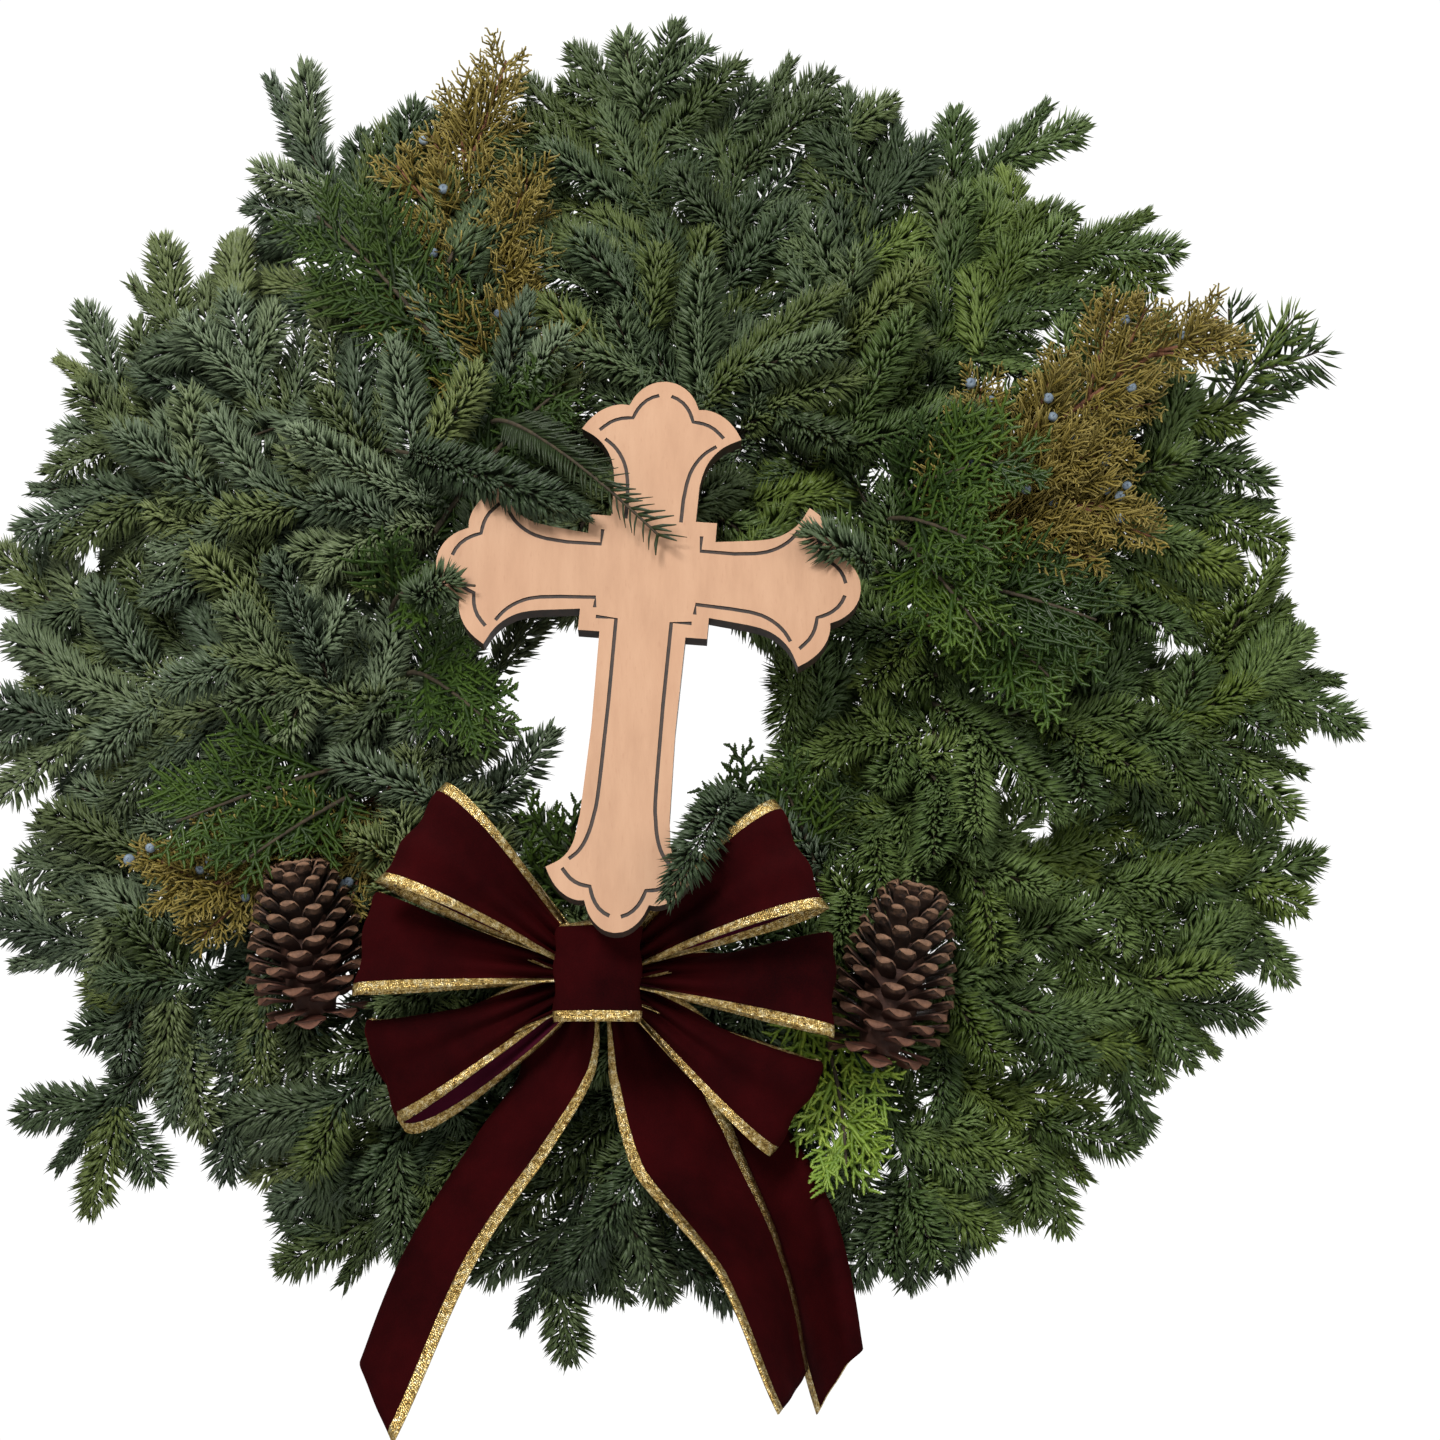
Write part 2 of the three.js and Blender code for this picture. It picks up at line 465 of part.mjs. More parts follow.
// A cone from its base to its apex, wired to the ring at the angle phi.
function cone(name, base, apex, phi) {
  const axis = apex.clone().sub(base);
  const length = axis.length();
  axis.normalize();
  const s = V(0, -1, 0).addScaledVector(axis, axis.y).normalize();
  const n = axis.clone().cross(s);
  const profile = (t) => Math.pow(Math.sin(Math.PI * Math.min(1, 0.16 + 0.84 * t) ** 0.9), 0.75);
  const core = [0.0, 0.12, 0.45, 0.8].map((t) => Array.from({ length: 7 }, (_, j) => {
    const a = (2 * Math.PI * j) / 7;
    const r = CONE_R * 0.56 * Math.max(0.3, profile(t));
    return base.clone().addScaledVector(axis, t * length).addScaledVector(s, Math.cos(a) * r).addScaledVector(n, Math.sin(a) * r);
  }));
  core.push([base.clone().addScaledVector(axis, length * 0.97)]);
  const parts = [loft(core)];
  for (let i = 0; i < SCALES; i += 1) {
    const t = 0.05 + (0.83 * i) / SCALES;
    const a = rad(GOLDEN * i);
    const o = s.clone().multiplyScalar(Math.cos(a)).addScaledVector(n, Math.sin(a));
    const side = axis.clone().cross(o);
    const r = CONE_R * profile(t);
    const up = axis.clone().multiplyScalar(0.25 + 0.75 * t).addScaledVector(o, 0.75);
    up.normalize();
    const thick = up.clone().cross(side).normalize();
    const root = base.clone().addScaledVector(axis, t * length).addScaledVector(o, r * 0.3);
    const edge = base.clone().addScaledVector(axis, t * length).addScaledVector(o, r * 0.3).addScaledVector(up, r * 0.78);
    const corner = (p, w, h) => [
      p.clone().addScaledVector(side, w).addScaledVector(thick, -h), p.clone().addScaledVector(side, -w).addScaledVector(thick, -h),
      p.clone().addScaledVector(thick, 1.6 * h)];
    const wide = lerp(7.4, 4.2, t);
    parts.push(loft([corner(root, 2.8, 1.3), corner(edge, wide, 1.3)]));
  }
  fixedPiece(name, join(parts), 0x4a2f22, 0.8);
  const back = polar(phi, BIND_R, 0);
  const below = base.clone().addScaledVector(axis, -12);
  const bend = below.clone().addScaledVector(axis, -5).addScaledVector(back.clone().sub(below).normalize(), 7);
  wire(`${name}_binding_wire`, [base.clone().addScaledVector(axis, -SEAT).toArray(), below.toArray(), bend.toArray(), ...hook(phi, BIND_R, 167)]);
}
cone('cone_left', V(-173, -50, -186), V(-184, -58, -98), 217);
cone('cone_right', V(112, -52, -206), V(136, -60, -112), 152);

// ---------------------------------------------------------------- stems and twigs
let twigCount = 0;
function bezier(p0, p1, p2, p3, n) {
  const c = new THREE.CubicBezierCurve3(p0, p1, p2, p3);
  return Array.from({ length: n + 1 }, (_, i) => c.getPoint(i / n));
}
const along = (path, f) => {
  const k = f * (path.length - 1);
  const i = Math.min(path.length - 2, Math.floor(k));
  return { p: path[i].clone().lerp(path[i + 1], k - i), t: path[i + 1].clone().sub(path[i]).normalize() };
};

// The centre lines of a bough: its stem from the clamp outwards, and its side twigs.
function lay(bough, index) {
  const [kind, k, layer, x, y, z, count, first, turn, inward] = bough;
  const rnd = seeded(101 + index * 7919);
  const phi = clampAngle(k);
  const c = polar(phi, CLAMP_R, LAYER_Y[layer]);
  const t = V(Math.cos(rad(phi)), 0, -Math.sin(rad(phi))).multiplyScalar(turn);
  const tip = V(x, y, z);
  const reach = tip.distanceTo(c);
  const p1 = c.clone().addScaledVector(t, Math.min(46, reach * 0.32));
  p1.y = lerp(c.y, y, [0, 0.03, 0.04, 0.1][layer]);
  const p2 = tip.clone().lerp(p1, 0.42).addScaledVector(t, reach * 0.05);
  p2.y = lerp(y, c.y, 0.3);
  const grown = bezier(c, p1, p2, tip, 9);
  const stem = [c.clone().addScaledVector(t, -13).add(V(0, layer === 3 ? -1.6 : 0, 0)), ...grown];
  const twigs = [];
  const spring = (f, side, angle, length, lift) => {
    const { p, t: d } = along(grown, f);
    const up = V(0, -1, 0).addScaledVector(d, d.y).normalize();
    const across = d.clone().cross(up).multiplyScalar(side);
    const go = d.clone().multiplyScalar(Math.cos(rad(angle))).addScaledVector(across, Math.sin(rad(angle)));
    const bend = d.clone().multiplyScalar(0.16 * length);
    const end = p.clone().addScaledVector(go, length).add(bend).add(V(0, -lift, 0));
    const ctrl = p.clone().addScaledVector(go, length * 0.5).add(V(0, -lift * 0.3, 0));
    const q = new THREE.QuadraticBezierCurve3(p, ctrl, end);
    twigs.push({ path: Array.from({ length: 6 }, (_, i) => q.getPoint(i / 5)), radius: TWIG, f });
  };
  const towards = Math.sign(c.clone().negate().dot(along(grown, 0.1).t.clone().cross(V(0, -1, 0)))) || 1;
  for (let i = 0; i < inward; i += 1) {
    spring(0.1 + 0.11 * i, towards, 74 - 16 * i + 8 * (rnd() - 0.5), lerp(66, 54, i) + 8 * rnd(), 5 + 6 * rnd());
  }
  const from = layer ? 0.17 : 0.36;
  for (let i = 0; i < count; i += 1) {
    const f = lerp(from, 0.86, count === 1 ? 0 : i / (count - 1)) + 0.03 * (rnd() - 0.5);
    const side = (i % 2 ? 1 : -1) * turn;
    spring(f, side, lerp(46, 36, f) + 10 * (rnd() - 0.5), first * (1 - 0.48 * f) * (0.9 + 0.2 * rnd()), 2 + 9 * rnd());
  }
  return { kind, index, stem, twigs, rnd, tint: bough[10] };
}

// Marks a twig as taken, or says how much of it is free. Nothing is kept closer than gap.
function freeLength(path, radius, twig, node, gap, skip) {
  let good = 0;
  for (let i = 0; i + 1 < path.length; i += 1) {
    for (const p of spaced(path[i], path[i + 1], 2.2)) {
      if (p.distanceTo(path[0]) < skip) continue;
      if (meets(p, radius, twig, node, gap, null)) return i;
    }
    good = i + 1;
  }
  return good;
}
function takePath(path, radius, twig, node) {
  for (let i = 0; i + 1 < path.length; i += 1) for (const p of spaced(path[i], path[i + 1], 2.2)) take(p, radius, twig, node);
}

const counts = {};
const NAMES = { fir: 'fir_bough', cedar: 'cedar_frond', juniper: 'juniper_spray' };
const boughs = BOUGHS.map((bough, i) => {
  const b = lay(bough, i);
  counts[b.kind] = (counts[b.kind] ?? 0) + 1;
  b.node = `${NAMES[b.kind]}_${String(counts[b.kind]).padStart(2, '0')}`;
  return b;
});
for (const b of boughs) {
  b.stemTwig = (twigCount += 1);
  takePath(b.stem, STEM * 0.8, b.stemTwig, b.node);
}
for (const b of boughs) {
  b.twigs = b.twigs.filter((w) => {
    w.id = (twigCount += 1);
    const free = freeLength(w.path, w.radius, w.id, b.node, 1.7, 6);
    if (free < 2) return false;
    w.path = w.path.slice(0, free + 1);
    takePath(w.path, w.radius, w.id, b.node);
    return true;
  });
}

// ---------------------------------------------------------------- needles and leaflets
// The tip of a needle that leans forward from the face quad of a twig running along t,
// or null where it would come too close to something else.
function spike(b, id, quad, t, length, leanBy, thick, spread = 0.12) {
  const centre = V(0, 0, 0);
  quad.forEach((q) => centre.addScaledVector(q, 0.25));
  const out = quad[2].clone().sub(quad[0]).cross(quad[3].clone().sub(quad[1])).normalize();
  if (out.dot(centre.clone().sub(b.axis)) < 0) out.negate();
  out.addScaledVector(t, -out.dot(t)).normalize();
  const apex = centre.clone().addScaledVector(out, Math.cos(rad(leanBy)) * length).addScaledVector(t, Math.sin(rad(leanBy)) * length)
    .add(V(b.rnd() - 0.5, b.rnd() - 0.5, b.rnd() - 0.5).multiplyScalar(length * spread));
  const line = spaced(centre, apex, 2.2);
  const r = (q) => lerp(thick, 0.25, q / (line.length - 1));
  if (line.some((p, q) => q && meets(p, r(q), id, b.node, 1.2, 0.1))) return null;
  line.forEach((p, q) => take(p, r(q), id, b.node));
  return apex;
}
// Points along a path at the given parts of its length.
const pick = (path, parts) => {
  const c = new THREE.CatmullRomCurve3(path);
  return parts.map((u) => c.getPointAt(Math.min(1, u)));
};
const lengthOf = (path) => path.slice(1).reduce((l, p, i) => l + p.distanceTo(path[i]), 0);

// What each kind bears: how far apart its whorls stand, how long a needle is, how far it
// leans forward, what part of a twig is bare, and which of the three faces bear.
const HABIT = {
  fir: { step: 12.6, needle: NEEDLE, lean: NEEDLE_LEAN, bare: 0.2, spread: 0.12, faces: [0, 1, 2], thick: 2.4 },
  cedar: { step: 9.5, needle: 10, lean: 44, bare: 0.08, spread: 0.06, faces: [0, 2], thick: 1.6 },
  juniper: { step: 10, needle: 28, lean: 62, bare: 0.12, spread: 0.3, faces: [0, 1, 2], thick: 1.5 },
};
function grow(b) {
  const h = HABIT[b.kind];
  const total = lengthOf(b.stem);
  const tail = b.stem[0].distanceTo(b.stem[1]) / total;
  const foot = BRANCH_FOOT / total / 2;
  const stops = [{ u: 0 }, { u: tail }, { u: tail + 12 / total }];
  let last = tail + 12 / total;
  for (const w of b.twigs.sort((p, q) => p.f - q.f)) {
    const path = b.stem.slice(1);
    const at = tail + (1 - tail) * (lengthOf(path.slice(0, Math.floor(w.f * 9) + 1)) + (w.f * 9 % 1) * path[Math.floor(w.f * 9)].distanceTo(path[Math.min(9, Math.floor(w.f * 9) + 1)])) / lengthOf(path);
    const u = Math.max(at, last + 2 * foot);
    stops.push({ u: u - foot, twig: w }, { u: u + foot });
    last = u + foot;
  }
  const ends = Math.max(2, Math.round(((1 - last) * total) / h.step) - 1);
  for (let i = 1; i <= ends; i += 1) stops.push({ u: lerp(last, 0.985, i / (ends + 0.6)), needle: true });
  stops.push({ u: 1 });
  const line = pick(b.stem, stops.map((q) => q.u));
  const thin = b.kind === 'fir' ? 1.1 : 0.9;
  const rings = rodRings(line, (i) => lerp(STEM, thin, stops[i].u), { phase: 0, tip: true });
  const centreOf = (quad) => quad.reduce((m, q) => m.addScaledVector(q, 0.25), V(0, 0, 0));
  return loft(rings, (i, j, quad) => {
    const t = line[i + 1].clone().sub(line[i]).normalize();
    b.axis = line[i].clone().lerp(line[i + 1], 0.5);
    const twig = stops[i].twig;
    if (twig && !twig.used) {
      const out = centreOf(quad).sub(b.axis);
      const go = twig.path[1].clone().sub(twig.path[0]);
      go.addScaledVector(t, -go.dot(t));
      const facing = out.dot(go) / (out.length() * go.length());
      if (facing > 0.45) {
        twig.used = true;
        const length = lengthOf(twig.path);
        const bare = Math.max(h.bare, 5.5 / length);
        const n = Math.max(2, Math.round(((1 - bare) * length) / h.step));
        const path = pick(twig.path, [...Array.from({ length: n }, (_, q) => lerp(bare, 0.96, q / (n - 0.4))), 1]);
        return {
          path,
          radius: (q) => lerp(twig.radius, 0.85, q / n),
          twist: b.kind === 'cedar' ? 0 : 0.6,
          raise: (q, c, face) => {
            if (!h.faces.includes(c)) return null;
            b.axis = path[q].clone().lerp(path[q + 1], 0.5);
            return spike(b, twig.id, face, path[q + 1].clone().sub(path[q]).normalize(), h.needle * (0.9 + 0.2 * b.rnd()), h.lean, h.thick, h.spread);
          },
        };
      }
    }
    if (stops[i].u < 0.3 || line[i].distanceTo(line[i + 1]) > 13 || i + 2 >= stops.length) return null;
    return spike(b, b.stemTwig, quad, t, h.needle, h.lean, h.thick, h.spread);
  });
}

for (const b of boughs) {
  keep(b.node, grow(b), GREENS[b.kind][b.tint], 0.7);
}

// ---------------------------------------------------------------- juniper berries
// A cluster of fused berries, brought up from the front until it sits on its spray.
function berries(name, node) {
  const b = boughs.find((q) => q.node === node);
  const host = pieces.find((q) => q.name === node).body;
  const rnd = seeded(7 + b.index);
  const spots = b.twigs.flatMap((w) => [0.8, 0.65, 0.5].map((f) => along(w.path, f)));
  for (const { p, t } of spots) {
    const out = V(0, -1, 0).addScaledVector(t, t.y).normalize();
    const side = t.clone().cross(out);
    const balls = Array.from({ length: BERRIES }, (_, i) => {
      const a = (2 * Math.PI * (i + 0.4 * rnd())) / (BERRIES - 1);
      const c = i ? p.clone().addScaledVector(t, 1.4 * BERRY * Math.cos(a)).addScaledVector(side, 1.4 * BERRY * Math.sin(a)) : p.clone();
      return fromGeometry(new THREE.IcosahedronGeometry(BERRY, 0).translate(...c.addScaledVector(out, 2.4 * BERRY + rnd()).toArray()));
    });
    let cluster = join(balls);
    let gap = 9;
    for (let i = 0; i < 6; i += 1) {
      gap = cluster.minGap(host, 9);
      cluster = cluster.translate(out.clone().multiplyScalar(SEAT - gap).toArray());
    }
    gap = cluster.minGap(host, 9);
    if (gap > 0.25 && gap < 0.7 && pieces.every((q) => q.body === host || cluster.minGap(q.body, 1) >= 0.4)) {
      keep(name, cluster, 0x7f8fa3, 0.6);
      return;
    }
  }
  throw new Error(`${name} found no place`);
}
berries('juniper_berries_01', 'juniper_spray_01');
berries('juniper_berries_02', 'juniper_spray_04');
berries('juniper_berries_03', 'juniper_spray_03');

// ---------------------------------------------------------------- out
const wreath = new THREE.Group();
wreath.name = 'evergreen_wreath';
for (const { name, body, colour, roughness, metalness } of pieces) {
  const m = body.getMesh();
  const geometry = new THREE.BufferGeometry();
  const p = new Float32Array(m.vertProperties);
  for (let i = 0; i < p.length; i += 3) { p[i] -= HANG[0]; p[i + 1] -= HANG[1]; p[i + 2] -= HANG[2]; }
  geometry.setAttribute('position', new THREE.BufferAttribute(p, 3));
  geometry.setIndex(new THREE.BufferAttribute(new Uint32Array(m.triVerts), 1));
  geometry.computeVertexNormals();
  const mesh = new THREE.Mesh(geometry, new THREE.MeshStandardMaterial({ color: colour, roughness, metalness }));
  mesh.name = name;
  wreath.add(mesh);
}
export default wreath;
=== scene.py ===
"""A fresh evergreen wreath with a wooden cross, a velvet ribbon bow and two cones, dressed
around its solids.

Lengths in this file are millimetres from the centre of the wire ring, with the front
towards -Y and +Z up. HANG is the point from which the wreath hangs; place() takes that
point as the origin and turns millimetres into metres.
"""
import json
import math

import bpy
import numpy as np
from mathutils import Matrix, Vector
from mathutils.bvhtree import BVHTree
from mathutils.geometry import delaunay_2d_cdt

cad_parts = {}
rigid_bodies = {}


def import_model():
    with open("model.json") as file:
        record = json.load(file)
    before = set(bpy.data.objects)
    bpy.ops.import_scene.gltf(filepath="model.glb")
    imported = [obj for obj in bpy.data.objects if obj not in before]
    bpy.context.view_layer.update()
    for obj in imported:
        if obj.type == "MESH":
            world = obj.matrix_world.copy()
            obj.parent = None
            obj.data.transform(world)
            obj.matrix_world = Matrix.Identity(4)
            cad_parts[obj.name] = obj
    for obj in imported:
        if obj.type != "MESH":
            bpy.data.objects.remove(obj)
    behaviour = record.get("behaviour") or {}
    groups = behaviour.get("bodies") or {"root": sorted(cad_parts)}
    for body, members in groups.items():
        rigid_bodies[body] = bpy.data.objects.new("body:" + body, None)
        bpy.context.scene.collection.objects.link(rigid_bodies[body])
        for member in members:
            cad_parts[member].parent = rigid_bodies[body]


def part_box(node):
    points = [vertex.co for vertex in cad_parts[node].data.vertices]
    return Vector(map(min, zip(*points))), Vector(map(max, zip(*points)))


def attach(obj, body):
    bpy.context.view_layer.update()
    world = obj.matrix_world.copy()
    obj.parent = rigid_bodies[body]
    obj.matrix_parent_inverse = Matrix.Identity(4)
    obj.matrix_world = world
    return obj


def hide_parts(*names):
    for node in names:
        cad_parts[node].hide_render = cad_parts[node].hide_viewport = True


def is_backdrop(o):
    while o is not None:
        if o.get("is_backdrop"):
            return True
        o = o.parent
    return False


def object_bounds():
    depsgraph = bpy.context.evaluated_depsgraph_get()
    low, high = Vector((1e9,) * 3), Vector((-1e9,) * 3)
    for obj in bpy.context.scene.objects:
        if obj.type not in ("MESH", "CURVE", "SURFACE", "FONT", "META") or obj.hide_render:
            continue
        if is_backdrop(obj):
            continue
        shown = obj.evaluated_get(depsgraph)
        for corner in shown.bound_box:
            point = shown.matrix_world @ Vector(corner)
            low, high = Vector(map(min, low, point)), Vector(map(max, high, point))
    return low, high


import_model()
CAD_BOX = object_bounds()

# ------------------------------------------------------------------ named sizes, in mm
RAIL_IN, RAIL_OUT, WIRE, RAIL_Y = 143.0, 161.0, 1.8, 6.0
HANG = np.array([0.0, RAIL_Y, RAIL_OUT - WIRE])
CLAMP_R, CLAMPS, PRONG, STEM, SEAT = 152.0, 12, 1.3, 2.6, 0.35
LAYER_Y = (3.0, -1.25, -5.5, -9.9)
RIBBON, RIBBON_T, GOLD_EDGE = 63.5, 1.1, 6.4
PINCH = np.array([-28.0, -80.0, -162.0])
CROSS_T, CROSS_LEAN, CROSS_TILT = 9.5, 10.4, 4.5
CROSS_AT = np.array([-4.0, -97.4, 40.0])
BIND = 0.9
GOLDEN = math.radians(137.508)
# Needles: half the width of a blade; then how many there are on each mm and how long they are,
# on a usual twig and on one with long separate needles.
BLADE, DENSE, LONG = 1.12, (5.5, 16.0), (1.5, 24.0)
TIE_R, TIE_END = 151.5, 167.0  # where a wire passes between the rails, and where it ends
# By their places in BOUGHS: the bough at the upper right with long separate needles, and the
# cedar frond that lies behind the cross.
SPARSE, BEHIND_CROSS = 2, 32


# ------------------------------------------------------------------ small mathematics
def V(*p):
    """A point or a direction as an array."""
    return np.array(p, float)


FRONT = V(0, -1, 0)

def unit(v):
    """Directions brought to length one, along the last axis."""
    return v / np.maximum(np.linalg.norm(v, axis=-1, keepdims=True), 1e-12)


def mix(a, b, t):
    return a + (b - a) * t


def taper(a, b, n):
    """n even steps from a to b."""
    return mix(a, b, np.linspace(0, 1, n))


def tints(*parts):
    """Rows of red, green, blue and 1, from parts that are spread to one shape."""
    return np.stack(np.broadcast_arrays(*parts, 1.0), -1)


def smooth(t):
    """0 below 0, 1 above 1, and an even S between them: 3u^2 - 2u^3."""
    u = np.clip(t, 0.0, 1.0)
    return u * u * (3 - 2 * u)


def seeded(seed):
    """The 32-bit mixing draw that the solids are laid out with, so boughs lie alike."""
    m = 0xFFFFFFFF
    s = seed & m

    def draw():
        nonlocal s
        s = (s + 0x6D2B79F5) & m
        t = ((s ^ (s >> 15)) * (s | 1)) & m
        t ^= (t + ((t ^ (t >> 7)) * (t | 61))) & m
        return ((t ^ (t >> 14)) & m) / 4294967296

    return draw


def polar(phi, r, y):
    """A point at an angle clockwise from the top, at a radius, at a depth."""
    a = math.radians(phi)
    return V(r * math.sin(a), y, r * math.cos(a))


def clamp_angle(k):
    return 15 + 360 / CLAMPS * k


def arc(p, n):
    """n + 1 points on the curve that starts and ends at the outer points p and is drawn
    towards those between."""
    t = np.linspace(0, 1, n + 1)[:, None]
    d = len(p) - 1
    return sum(math.comb(d, i) * (1 - t) ** (d - i) * t**i * np.asarray(q) for i, q in enumerate(p))


def run(path):
    """How far each point of a path lies along it."""
    return np.concatenate([[0], np.cumsum(np.linalg.norm(np.diff(path, axis=0), axis=1))])


def even(path, n):
    """The same path with n points at even distances along it."""
    path = np.asarray(path, float)
    s = run(path)
    at = np.linspace(0, s[-1], n)
    return np.stack([np.interp(at, s, path[:, k]) for k in range(3)], 1)


def rounded(path, n):
    """n points on a smooth curve through the points of a path."""
    p = np.asarray(path, float)
    q = np.vstack([2 * p[0] - p[1], p, 2 * p[-1] - p[-2]])
    u = np.linspace(0, len(p) - 1 - 1e-9, n)
    i = u.astype(int)
    t = (u - i)[:, None]
    a, b, c, d = q[i], q[i + 1], q[i + 2], q[i + 3]
    return 0.5 * (2 * b + (c - a) * t + (2 * a - 5 * b + 4 * c - d) * t**2 + (3 * b - a - 3 * c + d) * t**3)


def length_of(path):
    return float(np.linalg.norm(np.diff(path, axis=0), axis=1).sum())


# ------------------------------------------------------------------ meshes
def place(p):
    """Millimetres from the ring's centre to metres from the hanging point."""
    return (np.asarray(p, float) - HANG) / 1000


class Skin:
    """Vertices and triangles gathered for one piece, each vertex with a tint of four."""

    def __init__(self):
        self.v, self.f, self.m, self.c, self.n = [], [], [], [], 0

    def add(self, verts, faces, slot=0, tint=(0.5, 0.5, 0.5, 1.0)):
        """verts (..., 3) and faces (..., 3), whose numbers count these verts alone."""
        verts = np.asarray(verts, float).reshape(-1, 3)
        faces = np.asarray(faces, int).reshape(-1, 3)
        self.v.append(verts)
        self.f.append(faces + self.n)
        self.m.append(np.full(len(faces), slot))
        self.c.append(np.broadcast_to(np.reshape(tint, (-1, 4)), (len(verts), 4)))
        self.n += len(verts)
        return self

    def make(self, name, materials, record_slot, nodes=(), flat=False):
        """One object of all that was gathered, riding on the wreath."""
        v, f = place(np.vstack(self.v)), np.vstack(self.f)
        mesh = bpy.data.meshes.new(name)
        mesh.vertices.add(len(v))
        mesh.vertices.foreach_set("co", v.astype(np.float32).ravel())
        mesh.loops.add(f.size)
        mesh.loops.foreach_set("vertex_index", f.astype(np.int32).ravel())
        mesh.polygons.add(len(f))
        mesh.polygons.foreach_set("loop_start", np.arange(0, f.size, 3, dtype=np.int32))
        mesh.polygons.foreach_set("loop_total", np.full(len(f), 3, np.int32))
        mesh.polygons.foreach_set("material_index", np.concatenate(self.m).astype(np.int32))
        mesh.update(calc_edges=True)
        tint = mesh.attributes.new("tint", "FLOAT_COLOR", "POINT")
        tint.data.foreach_set("color", np.vstack(self.c).astype(np.float32).ravel())
        mesh.polygons.foreach_set("use_smooth", np.full(len(f), not flat))
        mesh.validate()
        for m in materials:
            mesh.materials.append(m)
        o = bpy.data.objects.new(name, mesh)
        bpy.context.scene.collection.objects.link(o)
        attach(o, "root")
        if nodes:
            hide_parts(*nodes)
        return o


def grid_faces(rows, columns, close=False):
    """Two triangles for each cell of a grid of points; close joins the last column to
    the first."""
    c = columns if close else columns - 1
    i, j = np.meshgrid(np.arange(rows - 1), np.arange(c), indexing="ij")
    k = (j + 1) % columns
    a, b, d, e = i * columns + j, i * columns + k, (i + 1) * columns + j, (i + 1) * columns + k
    return np.concatenate([np.stack([a, b, e], -1).reshape(-1, 3), np.stack([a, e, d], -1).reshape(-1, 3)])


def repeated(faces, count, step):
    """The same faces for each of count blocks of step vertices."""
    return (faces[None] + (np.arange(count) * step)[:, None, None]).reshape(-1, 3)


def rim_faces(rows, columns):
    """The wall between the edges of two equal grids of points, numbered one after the
    other."""
    last, k = (rows - 1) * columns, rows * columns
    a = np.concatenate([np.arange(0, last + 1, columns), np.arange(1, columns) + last,
                        np.arange(columns - 1, last, columns)[::-1], np.arange(1, columns - 1)[::-1]])
    b = np.roll(a, -1)
    return np.concatenate([np.stack([a, b, b + k], -1), np.stack([a, b + k, a + k], -1)])


def side_of(tangents, like):
    """A direction square to each tangent, as near as can be to like."""
    return unit(like - (like * tangents).sum(-1, keepdims=True) * tangents)


def tubes(skin, paths, radii, sides=6, slot=0, tint=(0.5, 0.5, 0.5, 1.0), squash=1.0, like=None):
    """Round rods along paths (n, k, 3) with radii (n, k). A point of a rod is the path's
    point plus radius times (cos a along the side, squash sin a along the normal)."""
    p = np.asarray(paths, float)
    p = p[None] if p.ndim == 2 else p
    n, k = p.shape[:2]
    r = np.broadcast_to(np.asarray(radii, float), (n, k))[..., None, None]
    t = unit(np.gradient(p, axis=1))
    if like is None:
        like = np.eye(3)[np.abs(unit(t.mean(1))).argmin(1)][:, None]
    s = side_of(t, like)
    a = np.arange(sides) * 2 * math.pi / sides
    u = squash * np.sin(a)[:, None] * np.cross(t, s)[:, :, None]
    cap = np.array([[0, i + 1, i] for i in range(1, sides - 1)])
    whole = [grid_faces(k, sides, close=True), cap, (k - 1) * sides + cap[:, [0, 2, 1]]]
    if np.ndim(tint) == 3:
        tint = np.repeat(np.reshape(tint, (-1, 4)), sides, axis=0)
    ring = p[:, :, None] + r * (np.cos(a)[:, None] * s[:, :, None] + u)
    skin.add(ring, repeated(np.concatenate(whole), n, k * sides), slot, tint)


# ------------------------------------------------------------------ materials
def srgb(*colour):
    """A colour read as 0 to 255 on a screen, as the shader wants it."""
    parts = [c / 255 for c in colour]
    return tuple(c / 12.92 if c <= 0.04045 else ((c + 0.055) / 1.055) ** 2.4 for c in parts)


